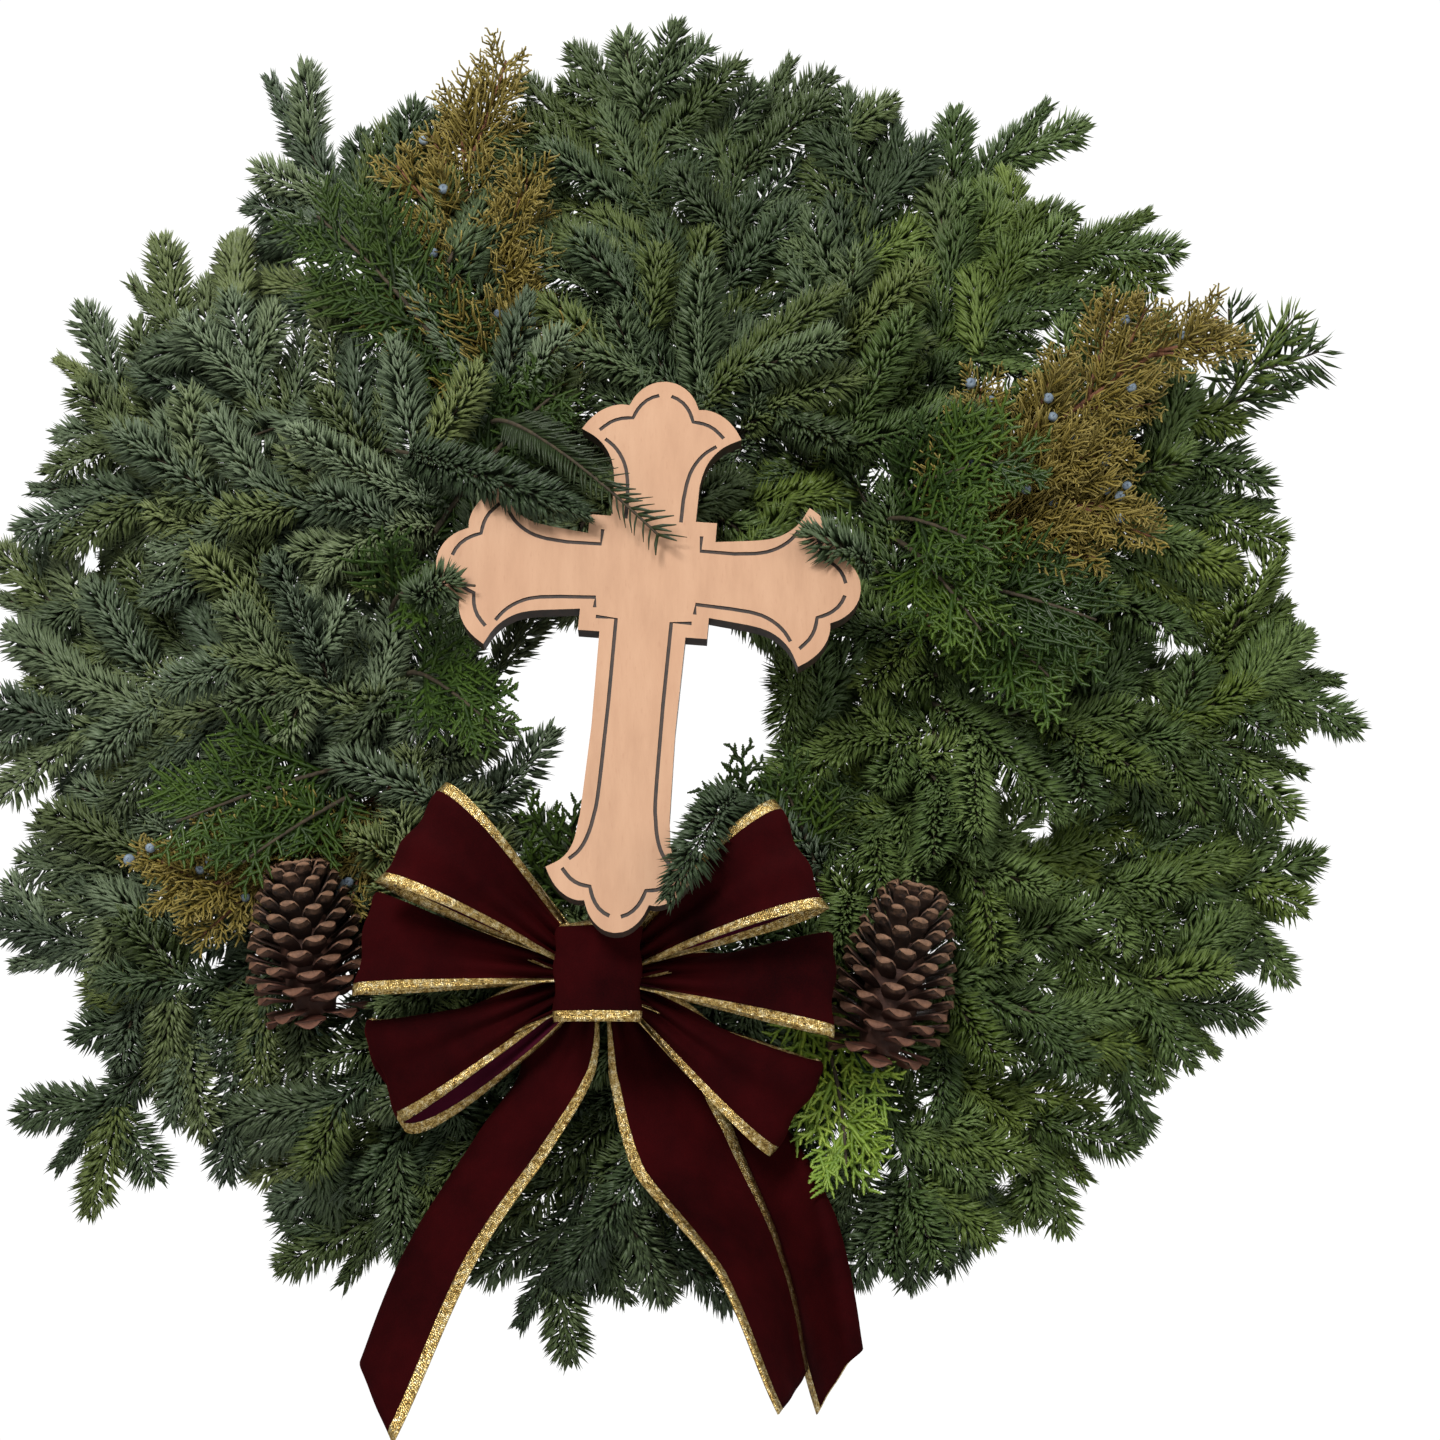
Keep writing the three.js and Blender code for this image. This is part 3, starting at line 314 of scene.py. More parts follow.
class Paint:
    """A material with its Principled shader, and short makers of its nodes."""

    def __init__(self, name):
        self.material = bpy.data.materials.new(name)
        self.material.use_nodes = True
        self.tree = self.material.node_tree
        self.here = self.node("ShaderNodeTexCoord").outputs["Object"]

    def feed(self, node, inputs):
        """Puts values or sockets into a node."""
        for key, value in inputs.items():
            if isinstance(value, bpy.types.NodeSocket):
                self.tree.links.new(value, node.inputs[key])
            else:
                node.inputs[key].default_value = value

    def node(self, kind, inputs=None, **settings):
        n = self.tree.nodes.new(kind)
        for key, value in settings.items():
            setattr(n, key, value)
        self.feed(n, inputs or {})
        return n

    def calc(self, operation, *values):
        return self.node("ShaderNodeMath", dict(enumerate(values)), operation=operation).outputs[0]

    def span(self, *values):
        """A value brought from one range into another."""
        keys = ("Value", "From Min", "From Max", "To Min", "To Max")
        return self.node("ShaderNodeMapRange", dict(zip(keys, values))).outputs[0]

    def noise(self, scale, detail=3.0, rough=0.55, where=None):
        values = {"Vector": where or self.here, "Scale": scale, "Detail": detail, "Roughness": rough}
        return self.node("ShaderNodeTexNoise", values).outputs["Fac"]

    def ramp(self, factor, *stops, scale=srgb):
        """A colour ramp through stops, each a place and three parts of a colour."""
        r = self.node("ShaderNodeValToRGB", {"Fac": factor})
        e = r.color_ramp.elements
        while len(e) < len(stops):
            e.new(0.5)
        for i, (at, *colour) in enumerate(stops):
            e[i].position = at
            e[i].color = (*scale(*colour), 1)
        return r.outputs["Color"]

    def blend(self, a, b, factor, kind="MIX"):
        """The colour a mixed with the colour b, given as three parts or as a socket."""
        b = b if isinstance(b, bpy.types.NodeSocket) else (*b, 1)
        return self.node("ShaderNodeMix", {0: factor, 6: a, 7: b}, data_type="RGBA", blend_type=kind).outputs[2]

    def tint(self):
        """The red, green and blue of the tint attribute."""
        tint = self.node("ShaderNodeAttribute", attribute_name="tint").outputs["Color"]
        parts = self.node("ShaderNodeSeparateColor", {"Color": tint}).outputs
        return parts["Red"], parts["Green"], parts["Blue"]

    def done(self, colour, roughness, relief=None, more=None):
        """The material, once its colour, roughness and relief (a height, its strength and
        its distance in metres) are set."""
        values = {"Base Color": colour, "Roughness": roughness, **(more or {})}
        if relief:
            bump = self.node("ShaderNodeBump", dict(zip(("Height", "Strength", "Distance"), relief)))
            values["Normal"] = bump.outputs["Normal"]
        self.feed(self.tree.nodes["Principled BSDF"], values)
        return self.material


def leafy(name, dark, mid, light, roughness=0.5, warm=0.8):
    """Living foliage. The tint attribute gives each leaf its own draw (red), how far along
    it a point is (green) and how young its twig is (blue); the colour runs from dark at
    the foot and in old growth to light at the tip and in young growth, and some twigs
    are warmer."""
    p = Paint(name)
    red, green, blue = p.tint()
    level = p.calc("MULTIPLY", red, 0.4)
    for part, share in ((green, 0.22), (blue, 0.3), (p.noise(420.0, 2.0), 0.36)):
        level = p.calc("MULTIPLY_ADD", part, share, level)
    plain = p.ramp(p.calc("SUBTRACT", level, 0.16), (0.06, *dark), (0.42, *mid), (0.92, *light))
    yellow = p.span(p.calc("FRACT", p.calc("MULTIPLY", red, 7.31)), 0.45, 1.0, 0.0, warm)
    colour = p.blend(plain, (1.22, 1.1, 0.5), yellow, "MULTIPLY")
    return p.done(colour, roughness, (p.noise(900.0, 2.0), 0.25, 0.0004), {"Specular IOR Level": 0.35})


def rind(name, dark, light):
    p = Paint(name)
    colour = p.ramp(p.noise(260.0, 5.0, 0.65), (0.3, *dark), (0.75, *light))
    return p.done(colour, 0.8, (p.noise(420.0, 4.0, 0.7), 0.6, 0.0008))


def bloom():
    p = Paint("juniper_berry_bloom")
    colour = p.ramp(p.noise(220.0, 5.0, 0.7), (0.3, 70, 84, 104), (0.55, 126, 142, 156), (0.8, 170, 178, 176))
    return p.done(colour, 0.62, (p.noise(700.0), 0.3, 0.0003))


def enamel():
    p = Paint("green_enamel_wire")
    colour = p.ramp(p.noise(180.0, 4.0), (0.3, 22, 44, 28), (0.72, 44, 74, 50))
    return p.done(colour, p.span(p.noise(320.0), 0.0, 1.0, 0.32, 0.6), (p.noise(900.0, 2.0), 0.25, 0.0003))


def plywood():
    """Bare plywood, burnt dark on the edges and in the engraved lines, which are where the
    surface doesn't face forward or lies deeper than the front."""
    p = Paint("bare_plywood")
    lean = math.radians(CROSS_LEAN)
    ahead = (0.0, -math.cos(lean), math.sin(lean))

    def stretched(*scale):
        turn = (0.0, math.radians(38), 0.0)
        return p.node("ShaderNodeMapping", {"Vector": p.here, "Rotation": turn, "Scale": scale}).outputs[0]

    def forward(v):
        return p.node("ShaderNodeVectorMath", {0: v, 1: ahead}, operation="DOT_PRODUCT").outputs["Value"]

    pore = p.noise(1.0, 2.0, 0.5, stretched(900.0, 900.0, 60.0))
    streak = p.noise(3.0, 6.0, 0.62, stretched(30.0, 30.0, 3.2))
    grain = p.ramp(streak, (0.25, 166, 126, 96), (0.52, 180, 140, 109), (0.8, 190, 151, 120))
    tone = p.blend(grain, srgb(180, 134, 102), p.span(p.noise(9.0, 3.0, 0.5), 0.35, 0.75, 0.0, 0.5))
    wood = p.blend(tone, srgb(158, 112, 82), p.span(pore, 0.62, 0.8, 0.0, 0.35))
    facing = forward(p.node("ShaderNodeTexCoord").outputs["Normal"])
    edge = p.calc("LESS_THAN", p.calc("ABSOLUTE", facing), 0.8)
    height, middle = forward(p.here), float(place(CROSS_AT) @ ahead)
    below = p.calc("LESS_THAN", height, middle + (CROSS_T / 2 - 0.25) / 1000)
    groove = p.calc("MULTIPLY", below, p.calc("GREATER_THAN", height, middle))
    char = p.ramp(p.noise(300.0), (0.3, 24, 15, 10), (0.7, 56, 36, 23))
    return p.done(p.blend(wood, char, p.calc("MAXIMUM", groove, edge)), 0.62, (pore, 0.18, 0.0004))


def velvet(name, dark, light, sheen):
    p = Paint(name)
    pile = p.noise(1500.0, 2.0, 0.6)
    both = p.calc("MULTIPLY_ADD", pile, 0.35, p.noise(22.0, 4.0, 0.6))
    soft = {"Specular IOR Level": 0.04, "Sheen Weight": 0.22, "Sheen Roughness": 0.38,
            "Sheen Tint": (*srgb(*sheen), 1)}
    return p.done(p.ramp(both, (0.42, *dark), (0.9, *light)), 0.88, (pile, 0.25, 0.0003), soft)


def gold_mesh():
    """A woven gold edge. Its tint attribute gives the place across and along the ribbon."""
    p = Paint("gold_mesh_edge")
    red, green, _ = p.tint()

    def cells(across, along, scale, chance):
        at = p.node("ShaderNodeCombineXYZ", {0: across, 1: along}).outputs[0]
        values = {"Vector": at, "Scale": scale, "Randomness": chance}
        return p.node("ShaderNodeTexVoronoi", values, feature="F1").outputs["Distance"]

    across, along = p.calc("MULTIPLY", red, 64.0), p.calc("MULTIPLY", green, 400.0)
    weave = cells(across, along, 1.1, 0.55)
    spot = cells(p.calc("MULTIPLY", across, 0.31), p.calc("MULTIPLY", along, 0.125), 1.0, 0.25)
    gold = p.ramp(p.noise(420.0, 4.0, 0.7), (0.34, 118, 88, 40), (0.5, 204, 174, 104), (0.68, 250, 238, 196))
    gaps = p.blend(gold, srgb(96, 66, 26), p.span(weave, 0.45, 0.75, 0.0, 0.75))
    specks = p.blend(gaps, srgb(40, 22, 14), p.span(spot, 0.16, 0.1, 0.0, 0.85))
    return p.done(specks, 0.3, (weave, 0.7, 0.0008), {"Metallic": 0.9})


def cone_scale():
    """Dark brown scales, pale at the lip and redder near the cone's foot."""
    p = Paint("cone_scale")
    _, green, blue = p.tint()
    rough = p.noise(300.0, 5.0, 0.65)
    base = p.ramp(rough, (0.3, 26, 16, 10), (0.7, 62, 39, 26))
    pale = p.span(p.calc("MULTIPLY_ADD", rough, 0.5, green), 1.08, 1.3, 0.0, 1.0)
    shown = p.blend(base, srgb(132, 98, 74), pale)
    colour = p.blend(shown, srgb(84, 38, 22), p.span(blue, 0.0, 0.5, 0.7, 0.0))
    return p.done(colour, 0.72, (rough, 0.6, 0.0012))


MAT = {
    "fir0": leafy("fir_needles_blue_green", (39, 50, 37), (74, 89, 66), (116, 131, 100)),
    "fir1": leafy("fir_needles_mid_green", (33, 45, 29), (60, 76, 49), (95, 111, 73)),
    "fir2": leafy("fir_needles_dark_green", (36, 49, 23), (66, 86, 43), (106, 126, 67)),
    "cedar0": leafy("cedar_deep_green", (15, 26, 8), (32, 50, 14), (60, 84, 26), 0.45),
    "cedar1": leafy("cedar_green", (18, 32, 8), (38, 60, 14), (74, 100, 30), 0.45),
    "cedar2": leafy("cedar_yellow_green", (52, 76, 22), (106, 134, 44), (160, 182, 82), 0.45),
    "juniper": leafy("juniper_olive", (70, 61, 25), (117, 104, 45), (152, 137, 78), 0.6, 0.35),
    "bark": rind("fir_bark", (38, 32, 22), (78, 66, 46)),
    "rind": rind("juniper_bark", (80, 46, 30), (140, 92, 62)),
    "berry": bloom(),
    "wire": enamel(),
    "wood": plywood(),
    "velvet": velvet("burgundy_velvet", (20, 1, 2), (48, 4, 6), (110, 12, 16)),
    "backing": velvet("velvet_backing", (38, 6, 18), (66, 14, 32), (130, 50, 78)),
    "gold": gold_mesh(),
    "cone": cone_scale(),
}


# ------------------------------------------------------------------ cross
# Every end of the cross has the same flower shape. The pairs are mm to the side and mm back
# from its apex: a middle lobe, a shoulder out to the point, and the neck behind the point.
LOBE = [(0, 0), (6, 1.0), (12, 4.4), (16.6, 9.6), (19.4, 15.4)]
SHOULDER = [(19.4, 15.4), (24, 15.2), (30, 16.8), (36, 20.4), (41, 25.6), (44.5, 31)]
NECK = [(44.5, 31), (36.5, 35.2), (31, 40.2), (27, 46.4), (24.8, 53), (23.6, 60)]
LINE_LOBE = [(3.4, 8.4), (8.6, 10.6), (12.8, 14.6), (15.2, 18.6), (16.8, 22.6)]
LINE_SHOULDER = [(16.8, 22.6), (23, 23.4), (29, 26), (34.6, 31)]
LINE_NECK = [(31, 36), (25.6, 40), (21.2, 45.4), (18, 52), (16.4, 59)]
TOP, ARM, FOOT, WIDTH, LINE_W, LINE_D = 112.0, 116.0, 191.0, 0.945, 2.0, 0.8


def smooth_line(points, step=2.6):
    """A smooth curve through hand-set points, with a point every few millimetres."""
    p = np.column_stack([np.array(points, float), np.zeros(len(points))])
    return rounded(p, max(3, int(length_of(p) / step)))[:, :2]


def cross_drawing():
    """The right half of the cross from its top to its foot, and the engraved lines of the
    right half, in mm from the crossing, before widths are brought to scale by WIDTH."""
    ends = {"top": lambda q: np.stack([q[:, 0], TOP - q[:, 1]], 1),
            "arm_up": lambda q: np.stack([ARM - q[:, 1], q[:, 0]], 1),
            "arm_low": lambda q: np.stack([ARM - q[:, 1], -q[:, 0]], 1),
            "foot": lambda q: np.stack([q[:, 0] * (1 - 0.13 * smooth((58 - q[:, 1]) / 24)), q[:, 1] - FOOT], 1)}
    curve = {k: smooth_line(v) for k, v in (("lobe", LOBE), ("shoulder", SHOULDER), ("neck", NECK))}
    out = [curve["lobe"], curve["shoulder"][1:], curve["neck"][1:]]
    end = {k: np.vstack([f(q) for q in out]) for k, f in ends.items()}
    half = np.vstack([end["top"], [(23.3, 32), (35, 32), (35, 21.3)], end["arm_up"][::-1], end["arm_low"][1:],
                      [(35, -21.3), (35, -33), (23.3, -33), (22.4, -84)], end["foot"][::-1]])
    lines = [f(np.vstack([smooth_line(LINE_LOBE), smooth_line(LINE_SHOULDER)[1:]])) for f in ends.values()]
    neck = smooth_line(LINE_NECK)
    for name, corner in (("top", [(15.4, 44), (15.2, 31)]), ("arm_up", [(46, 15.4), (27.4, 15.6), (27.2, 24)]),
                         ("arm_low", [(46, -15.4), (27.4, -14.4), (27.2, -20)])):
        lines.append(np.vstack([ends[name](neck), corner]))
    stem = smooth_line(LINE_NECK + [(15.2, 72), (14.6, 120)])
    lines.append(np.vstack([[(26, -25), (15, -25.4)], ends["foot"](stem)[::-1]]))
    return half, lines


def cross_plate():
    """The plywood cross: its outline and the edges of its engraved lines are triangulated
    together; triangles inside a line lie LINE_D deeper, with upright walls round them."""
    half, lines = cross_drawing()
    loops = [np.vstack([half, half[1:-1][::-1] * (-1, 1)])[::-1]]
    for line in lines:
        t = np.gradient(line, axis=0)
        n = np.stack([-t[:, 1], t[:, 0]], 1) / np.linalg.norm(t, axis=1)[:, None] * LINE_W / 2
        band = np.vstack([line - n, (line + n)[::-1]])
        loops += [band, band[::-1] * (-1, 1)]
    verts, faces = [], []
    for q in loops:
        faces.append(list(range(len(verts), len(verts) + len(q))))
        verts += [Vector(r) for r in q]
    pts, _, tri, _, _, of = delaunay_2d_cdt(verts, [], faces, 1, 1e-4)
    flat = np.array([tuple(q) for q in pts])
    tri = np.array([list(t) for t in tri])
    low = np.array([any(k > 0 for k in f) for f in of])
    a, b = flat[tri[:, 1]] - flat[tri[:, 0]], flat[tri[:, 2]] - flat[tri[:, 0]]
    turned = a[:, 0] * b[:, 1] - b[:, 0] * a[:, 1] < 0
    tri[turned] = tri[turned][:, ::-1]
    n = len(flat)
    edge = {(t[i], t[(i + 1) % 3]): k for k, t in enumerate(tri) for i in range(3)}
    walls = []
    for (i, j), k in edge.items():
        other = edge.get((j, i))
        if other is None:
            a, b = (i + n * low[k], j + n * low[k])
            walls += [(a, i + 2 * n, j + 2 * n), (a, j + 2 * n, b)]
        elif low[other] and not low[k]:
            walls += [(i, i + n, j + n), (i, j + n, j)]
    faces = np.vstack([np.where(low[:, None], tri + n, tri), tri[:, ::-1] + 2 * n, np.array(walls)])
    z = np.repeat([CROSS_T / 2, CROSS_T / 2 - LINE_D, -CROSS_T / 2], n)
    x, y = np.tile(flat[:, 0] * WIDTH, 3), np.tile(flat[:, 1], 3)
    lean, tilt = math.radians(CROSS_LEAN), math.radians(CROSS_TILT)
    x, y, z = x * math.cos(tilt) + y * math.sin(tilt), -z, -x * math.sin(tilt) + y * math.cos(tilt)
    y, z = y * math.cos(lean) + z * math.sin(lean), -y * math.sin(lean) + z * math.cos(lean)
    skin = Skin().add(np.stack([x, y, z], 1) + CROSS_AT, faces)
    skin.make("cross_plate", [MAT["wood"]], "plywood", ["wooden_cross"], flat=True)


cross_plate()


# ------------------------------------------------------------------ ribbon bow
def ribbon(skin, c, w, n, half, folds, cut=0.0, curl=(0.0, 0.0, 7.0)):
    """A ribbon along the stations c, lying across w and facing n, half its width wide. A
    point across it at u (-1 to 1) is c + u half w + (folds(u) + T/2) n. Its two outer
    bands are the gold edges; cut slants its end. curl is how many mm of its left and right
    edge roll back, and the radius of their arc."""
    rows = len(c)
    g = 1 - 2 * GOLD_EDGE / RIBBON
    u = np.concatenate([[-1, -(1 + g) / 2], np.linspace(-g, g, 25), [(1 + g) / 2, 1]])
    w, n = unit(w), unit(n)
    t = unit(np.gradient(c, axis=0))
    s = run(c)
    wave = folds(u[None], s[:, None])
    flat = half[:, None] * u[None]
    for side, most in zip((-1, 1), curl):
        start = half[:, None] - most * smooth((s - 20) / 50)[:, None]
        turn = np.maximum(0, side * flat - start) / curl[2]
        flat = np.where(turn > 0, side * (start + curl[2] * np.sin(turn)), flat)
        wave = wave - curl[2] * (1 - np.cos(turn))
    mid = c[:, None] + flat[..., None] * w[:, None] + wave[..., None] * n[:, None]
    slant = smooth((s - s[-1] + 45) / 45)[:, None] * cut * u[None]
    mid = mid + slant[..., None] * t[:, None]
    normal = unit(np.cross(np.gradient(mid, axis=0), np.gradient(mid, axis=1)))
    normal *= np.sign((normal * n[:, None]).sum(-1, keepdims=True)).mean()
    top, under = mid + normal * RIBBON_T / 2, mid - normal * RIBBON_T / 2
    verts = np.vstack([top.reshape(-1, 3), under.reshape(-1, 3)])
    cols = len(u)
    one = grid_faces(rows, cols)
    cell = np.concatenate([np.tile(np.arange(cols - 1), rows - 1)] * 2)
    golden = np.abs((u[cell] + u[cell + 1]) / 2) > g
    if (np.cross(top[0, 1] - top[0, 0], top[1, 0] - top[0, 0]) * normal[0, 0]).sum() <= 0:
        one = one[:, ::-1]
    back = one[:, ::-1] + rows * cols
    rim = rim_faces(rows, cols)
    p, q, r = verts[rim[0]]
    if np.dot(np.cross(q - p, r - p), p - c[0]) < 0:
        rim = rim[:, ::-1]
    tint = tints(u[None] * 0.5 + 0.5, s[:, None] / 400, wave * 0.1 + 0.5)
    base = skin.n
    skin.add(verts, one[~golden], 0, np.vstack([tint, tint]))
    for faces, slot in ((one[golden], 1), (back[~golden], 2), (back[golden], 1), (rim, 1)):
        skin.f.append(faces + base)
        skin.m.append(np.full(len(faces), slot))


def cloth(skin, node, length):
    """The sheet of ribbon that stands for a node."""
    o = skin.make(node + "_cloth", [MAT["velvet"], MAT["gold"], MAT["backing"]], "velvet", [node])


def rolled(v, axis, angle):
    """The direction v turned about an axis by each angle."""
    a = angle[:, None]
    return v * np.cos(a) + np.cross(axis, v) * np.sin(a) + axis * float(v @ axis) * (1 - np.cos(a))

def loop(skin, out, length, puff, roll, forward, drop, y, curl):
    """A loop of the bow: out along one direction and back behind it. With t from 0 to 1,
    it stands sin(pi t) of its length out, and its front and back part by
    sin(2 pi t) puff; it is pinched at its root and widens to the whole ribbon. Its back
    hangs lower than its front by drop."""
    out, forward = math.radians(out), math.radians(forward)
    e1 = unit(V(math.cos(out), -math.tan(forward), math.sin(out)))
    e2 = unit(FRONT - (FRONT @ e1) * e1)
    w = np.cross(e1, e2)
    t = np.linspace(0, 1, 85)
    s = np.sin(math.pi * t)
    lift = np.sin(2 * math.pi * t) * puff * (0.35 + 0.65 * smooth(s * 1.1)) + 0.8 * np.cos(math.pi * t)
    turn = smooth((s * length - 12) / 45) * math.radians(roll)
    e2r, wr = rolled(e2, e1, turn), rolled(w, e1, turn)
    start = V(PINCH[0], y, PINCH[2])
    sag = drop * np.maximum(0, np.sin(2 * math.pi * (t - 0.5))) ** 0.8
    c = start + e1 * (s * length + 1.5)[:, None] + e2r * lift[:, None] - V(0, 0, 1) * sag[:, None]
    half = np.minimum(RIBBON / 2, 2.8 + s * length * 0.238) * (1 - 0.04 * smooth((t - 0.5) / 0.08))
    n = unit(np.cross(np.gradient(c, axis=0), wr))
    n *= np.sign(float((n[20] * e2r[20]).sum()))
    total = length_of(c)

    def folds(u, at):
        x = at / total
        rest = np.minimum(x, 1 - x)
        near = np.exp(-((rest / 0.26) ** 2))
        bulge = 3.2 * (1 - u**2) * np.sin(math.pi * np.clip(x, 0, 1)) * smooth(1.4 * rest / 0.25)
        crown = bulge * np.where(x < 0.5, 1.0, -1.0) * np.abs(1 - 2 * x)
        pleat = 3.7 * near * np.cos(3 * math.pi * u + 0.6 * roll)
        return crown + pleat + 1.1 * np.sin(2.2 * math.pi * u + 3 * x + roll) * (1 - near) * np.sin(math.pi * x)

    ribbon(skin, c, wr, n, half, folds, 0.0, curl if wr[20][2] < 0 else (curl[1], curl[0], curl[2]))
    return total


BOW = (
    ("bow_loops_upper", -85.5, ((144.2, 119, 14, 14, 20, 0), (28.8, 121, 14, -14, 20, 0)), (0, 0, 5)),
    ("bow_loops_middle", -81.0, ((171.5, 119, 9, 6, 9.2, 0), (-1.5, 118, 9, -6, 9.2, 0)), (13, 0, 5)),
    ("bow_loops_lower", -76.9, ((202.2, 120, 11, -14, -2, 19), (-32.4, 121, 11, 14, -2, 0)), (13, 0, 5)),
)
for name, y, pair, curl in BOW:
    skin = Skin()
    cloth(skin, name, sum(loop(skin, *q, y, curl) for q in pair))


def tail(skin, points, cut, ripple, curl=(0.0, 0.0, 7.0)):
    """A hanging tail through points, each x, y, z, half width and the angle of its face."""
    p = np.asarray(points, float)
    rows = 70
    c = rounded(p[:, :3], rows)
    k = np.linspace(0, len(p) - 1, rows)
    half = np.interp(k, np.arange(len(p)), p[:, 3])
    face = np.radians(np.interp(k, np.arange(len(p)), p[:, 4]))
    t = unit(np.gradient(c, axis=0))
    w = side_of(t, np.stack([np.cos(face), np.sin(face), 0 * face], 1))
    n = np.cross(t, w)
    n *= np.sign((n @ FRONT).mean())
    total = length_of(c)

    def folds(u, at):
        x = at / total
        near = np.exp(-((x / 0.16) ** 2))
        pleat = 3.2 * near * np.cos(3 * math.pi * u)
        bend = ripple * np.sin(math.pi * x * 1.6 + 0.8) * (u**2 - 0.35) * smooth(x * 3)
        return pleat + bend + 0.7 * np.sin(2.4 * math.pi * u + 5 * x) * smooth(x * 2) * (1 - 0.6 * x)

    ribbon(skin, c, w, n, half, folds, cut, curl)
    return total


def root(y, dx):
    return (PINCH[0] + dx, y, PINCH[2] - 4)


FULL = RIBBON / 2
TAILS = {
    "bow_tails_long": (
        ([(*root(-72, -6), 3.5, 0), (-50, -59, -200, 22, 4), (-81, -57, -244, 30, -18),
          (-116, -64, -300, FULL, -32), (-143, -68, -366, FULL, -38)], 20, 3.0, (24, 0, 8)),
        ([(*root(-72, 6), 3.5, 0), (-4, -58, -204, 22, 4), (14, -57, -250, 29, 12),
          (49, -72, -306, FULL, 54), (70, -80, -368, FULL, 70)], -9, 2.0)),
    "bow_tail_right": (
        ([(*root(-68.2, 6), 3.5, 0), (14, -49, -204, 18, -4), (50, -42, -238, 24, -8),
          (76, -46, -290, 28, -36), (93, -56, -364, 26, -54)], -14, 3.0, (0, 17, 5)),),
}
for name, ways in TAILS.items():
    skin = Skin()
    cloth(skin, name, sum(tail(skin, *q) for q in ways))

# The small loop over the pinch. Seen from above it is a drop: x = 31.5 sin a |sin(a/2)|^1.6
# and y = 12 cos a; its height is least behind, at a = 0, where the wire grips it.
a = np.linspace(0, 2 * math.pi, 97)
wide = 31.5 * np.sin(a) * np.abs(np.sin(a / 2)) ** 1.6
c = np.stack([PINCH[0] + wide, -101.5 + 12 * np.cos(a), np.full_like(a, PINCH[2] + 0.5)], 1)
grip = mix(0.3, 1, smooth((1 - np.cos(a)) / 1.3))
t = unit(np.gradient(c, axis=0))
t[0] = t[-1] = V(1, 0, 0)
n = np.cross(t, V(0, 0, 1))
n *= np.sign((n[48] @ FRONT))
skin = Skin()
flat = length_of(c)


def knot_folds(u, at):
    return 1.3 * np.cos(2.5 * math.pi * u) * (0.6 + 0.4 * np.cos(2 * math.pi * at / flat)) - 0.6


ribbon(skin, c, np.tile(V(0, 0, 1), (97, 1)), n, 26.5 * grip, knot_folds, curl=(0, 11, 7))
cloth(skin, "bow_centre_loop", flat)


